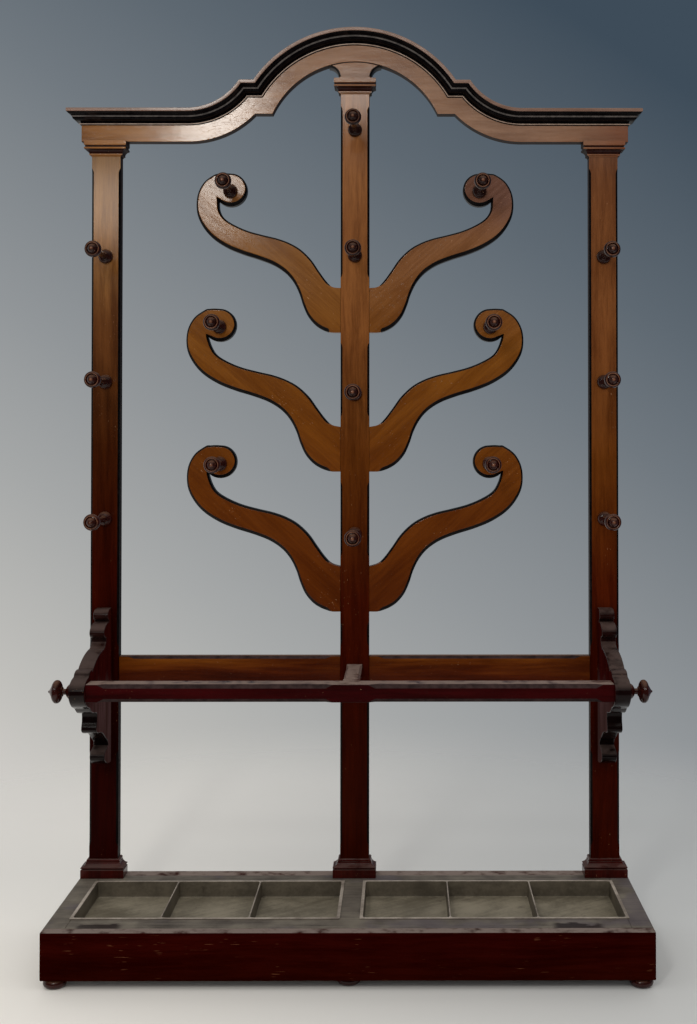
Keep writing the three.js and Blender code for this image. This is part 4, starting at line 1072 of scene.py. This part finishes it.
def knobProfile():
    length, big, neck = knob["length"], knob["ball"], knob["neck"]
    ball = length - knob["ballBack"]
    line = [(0, fit), (16.4, fit), (17.0, 1.0)]
    line += quarter((17.0, 2.4), (neck, 12.0), (15.6, 9.4), 7)
    line += [(neck * 0.96, 14), (neck, ball - 13.5)]
    line += scaled(big, ball, [(0.40, -12.6), (0.44, -11.4), (0.42, -10.2)])
    line += quarter(*scaled(big, ball, [(0.56, -9.8), (1, -0.8), (0.98, -8.2)]), 7)
    line += scaled(big, ball, [(0.985, 0.2), (1, 1.2)])
    line += quarter(*scaled(big, ball, [(1, 1.8), (0.60, 9.6), (0.92, 8.8)]), 7)
    line += scaled(big, ball, [(0.54, 9.8), (0.52, 10.6), (0.50, 11.0)])
    line += curveThrough(scaled(big, ball, [(0.42, 12.2), (0.26, 14.4), (0.12, 16.6)]), 3)
    line += quarter((big * 0.11, ball + 17.2), (0, length), (big * 0.10, length - 0.2), 3)
    return line, []


def footProfile():
    high, radius = footTurned["high"], footTurned["radius"]
    line = [(0, 0), (radius * 0.62, 0)]
    line += quarter((radius * 0.70, 0.3), (radius, high * 0.42), (radius * 0.98, 1.0), 7)
    line += quarter((radius, high * 0.50), (radius * 0.80, high * 0.86), (radius * 0.97, high * 0.80), 6)
    line += [(radius * 0.79, high * 0.90), (radius * 0.84, high * 0.95), (radius * 0.98, high - fit)]
    # the pale ring round the foot's widest part is a painted highlight
    return line + [(0, high - fit)], [(radius, high * 0.46, 0.8)]


def turnedPieces(name, look, profile, places, nodes):  # places holds a spot and a direction for each
    def pointed(label, spots, attribute, kind, values, key):
        mesh = bpy.data.meshes.new(label)
        mesh.from_pydata(spots, [], [])
        for item, value in zip(mesh.attributes.new(attribute, kind, "POINT").data, values):
            setattr(item, key, value)
        return placed(label, mesh)
    line, wearAndHighlightRings = profile
    wear = [max([0] + [1 - math.hypot(r - wornR, d - wornD) / size for wornR, wornD, size in wearAndHighlightRings])
            for r, d in line]
    spots, aims = zip(*places)
    piece = pointed(name, [(r * mm, 0, d * mm) for r, d in line], "wear", "FLOAT", wear, "value")
    marker = pointed(name + "_places", [Vector(spot) * mm for spot in spots], "aim", "FLOAT_VECTOR", aims,
                     "vector")
    modifier = piece.modifiers.new("turning", "NODES")
    modifier.node_group = turning
    values = {"Places": marker, "Sides": look["sides"], "Unevenness": look["uneven"], "Seed": look["seed"],
              "Finish": woods["turned"]}
    for item in turning.interface.items_tree:
        if item.in_out == "INPUT" and item.name in values:
            modifier[item.identifier] = values[item.name]
    bm = bmesh.new()
    bm.from_mesh(baked(piece, modifier))
    bpy.data.objects.remove(piece)
    bpy.data.objects.remove(marker)
    finished(name, bm, [woods["turned"]], nodes, sharp=34)


def makeTurnings():
    front = (0.0, -1.0, 0.0)
    pegs = {}
    for tierName, tier in arms.items():
        for sideName, sign in sides.items():
            out, up = armEye(tier)
            pegs["arm_%s_%s" % (tierName, sideName)] = (sign * (half + out), postFront + arm["setBack"],
                                                        tier["foot"] + up)
    for index, z in enumerate(sidePegHeights):
        for sideName, sign in sides.items():
            pegs["%s_%d" % (sideName, index + 1)] = (sign * stand["postX"], postFront, z)
    for index, z in enumerate(centrePegHeights):
        pegs["centre_%d" % (index + 1)] = (0, postFront, z)
    turnedPieces("coat_pegs", peg, pegProfile(), [(spot, front) for spot in pegs.values()],
                 ["coat_peg_" + name for name in pegs])
    ends = [((sign * (stand["postX"] + bracket["thick"] / 2), stick["y"], stick["z"]), (sign, 0.0, 0.0))
            for sign in sides.values()]
    turnedPieces("side_knobs", knob, knobProfile(), ends, ["side_knob_" + name for name in sides])
    inside = footTurned["radius"] + footTurned["inset"]
    x, y = stand["baseHalf"] - inside, stand["baseBack"] - inside
    feet = {"foot_front_left": (-x, -y), "foot_front_centre": (0, -y + footTurned["centreBack"]),
            "foot_front_right": (x, -y), "foot_back_left": (-x, y), "foot_back_right": (x, y)}
    turnedPieces("bun_feet", footTurned, footProfile(),
                 [((*spot, 0), (0.0, 0.0, 1.0)) for spot in feet.values()], list(feet))


turning = turningTree()
makeTurnings()
print("turnings ready")


# Floor, background, light and camera

studio = {"floorRadius": 2.4, "fadeFrom": 0.95, "skyLevel": 0.8, "skyColour": (1.0, 0.98, 0.96, 1.0),
          "lampColour": (1.0, 0.98, 0.92), "aim": (0, 0.15, 1.3), "floorSides": 96,
          "lean": (0.469, 0.579, 0.893), "least": 0.35}  # how the backdrop pales downwards and to the left
backdrop = [(0.1, 62, 76, 89), (0.275, 94, 104, 113), (0.375, 112, 120, 127),
            (0.556, 145, 149, 152), (0.669, 165, 167, 167), (0.8125, 191, 190, 186),
            (0.944, 215, 211, 206)]
panels = {  # where, how wide and high, and its glow
    "key_panel": ((-0.765, -2.86, 2.61), (0.30, 0.88), 30.0),
    "left_panel": ((-1.30, -2.86, 2.23), (0.42, 0.30), 4.0),
    "small_panel": ((-0.12, -2.86, 2.74), (0.40, 0.14), 10.0),
    "upper_panel": ((0.45, -2.86, 3.00), (1.60, 0.60), 0.8),
    "right_panel": ((1.05, -2.86, 2.62), (1.10, 0.30), 0.9),
}
view = {"focal": 1287.2, "centre": (409.4, 414.5), "frame": (697, 1024), "spot": (0.1158, -2.8633, 1.1426),
        "yaw": 0.004, "pitch": 0.017, "sensor": 36.0}  # focal and centre in pixels of the frame


def makeFloor():
    floor = Finish("pale_floor")
    x, y = (floor.axis(floor.place, name) for name in "XY")
    far = floor.vectorMaths("LENGTH", floor.place, output="Value")
    colour = floor.mix(floor.smooth(x, -0.9, 0.9), (243, 240, 234), (197, 199, 199))
    colour = floor.mix(floor.noise(3.0, 3.0) * 0.08, colour, (208, 204, 198))
    colour = floor.mix(floor.smooth(y, -0.3, 0.6), colour, (238, 240, 242), "MULTIPLY")
    fade = floor.smooth(far, studio["fadeFrom"], studio["floorRadius"])
    floor.surface(colour, 0.9, 0.0, Alpha=1 - fade)
    bm = bmesh.new()
    bmesh.ops.create_circle(bm, cap_ends=True, segments=studio["floorSides"], radius=studio["floorRadius"])
    placed("floor", meshFrom("floor", bm, [floor.material]))


def makeSky():  # the camera sees the backdrop, the polish a dark front and a lighter top
    world = bpy.data.worlds.new("studio")
    scene.world = world
    world.use_nodes = True
    sky = Graph(world.node_tree)
    way = sky.node("ShaderNodeTexCoord", output="Generated")
    x, y, z = (sky.axis(way, name) for name in "XYZ")
    level, leanX, leanZ = studio["lean"]
    side = y.maths("MAXIMUM", y.maths("ABSOLUTE", y), studio["least"])
    shown = sky.ramp(level - (leanX * x + leanZ * z) / side, backdrop)
    camera = sky.node("ShaderNodeLightPath", output="Is Camera Ray")
    direct = camera + camera.output("Is Glossy Ray") + camera.output("Is Transmission Ray")
    shown = sky.mix((1 - camera) * sky.smooth(y, 0.15, -0.25), shown, (24, 26, 30))
    shown = sky.mix((1 - camera) * sky.smooth(z, 0.45, 0.85), shown, (196, 188, 178))
    light, seen = (sky.node("ShaderNodeBackground", {"Color": colour, "Strength": strength})
                   for colour, strength in ((studio["skyColour"], studio["skyLevel"]), (shown, 1.0)))
    both = sky.node("ShaderNodeMixShader", {0: direct, 1: light, 2: seen})
    sky.node("ShaderNodeOutputWorld", {"Surface": both})


def makePanels():
    for name, (spot, (wide, high), glow) in panels.items():
        lamp = bpy.data.lights.new(name, "AREA")
        lamp.shape = "RECTANGLE"
        lamp.size = wide
        lamp.size_y = high
        lamp.energy = glow * math.pi * wide * high
        lamp.color = studio["lampColour"]
        holder = placed(name, lamp)
        holder.location = spot
        holder.rotation_euler = (Vector(studio["aim"]) - Vector(spot)).to_track_quat("-Z", "Y").to_euler()
        holder.visible_camera = False


def makeCamera():
    lens = bpy.data.cameras.new("camera")
    wide, high = view["frame"]
    lens.sensor_fit = "AUTO"
    lens.sensor_width = view["sensor"]
    lens.lens = view["focal"] * view["sensor"] / high
    lens.shift_x = (wide / 2 - view["centre"][0]) / high
    lens.shift_y = (view["centre"][1] - high / 2) / high
    eye = placed("camera", lens)
    eye.location = view["spot"]
    eye.rotation_euler = (math.pi / 2 + view["pitch"], 0.0, -view["yaw"])
    scene.camera = eye


makeFloor()
makeSky()
makePanels()
makeCamera()
scene.view_settings.view_transform = "Standard"

print("scene ready")
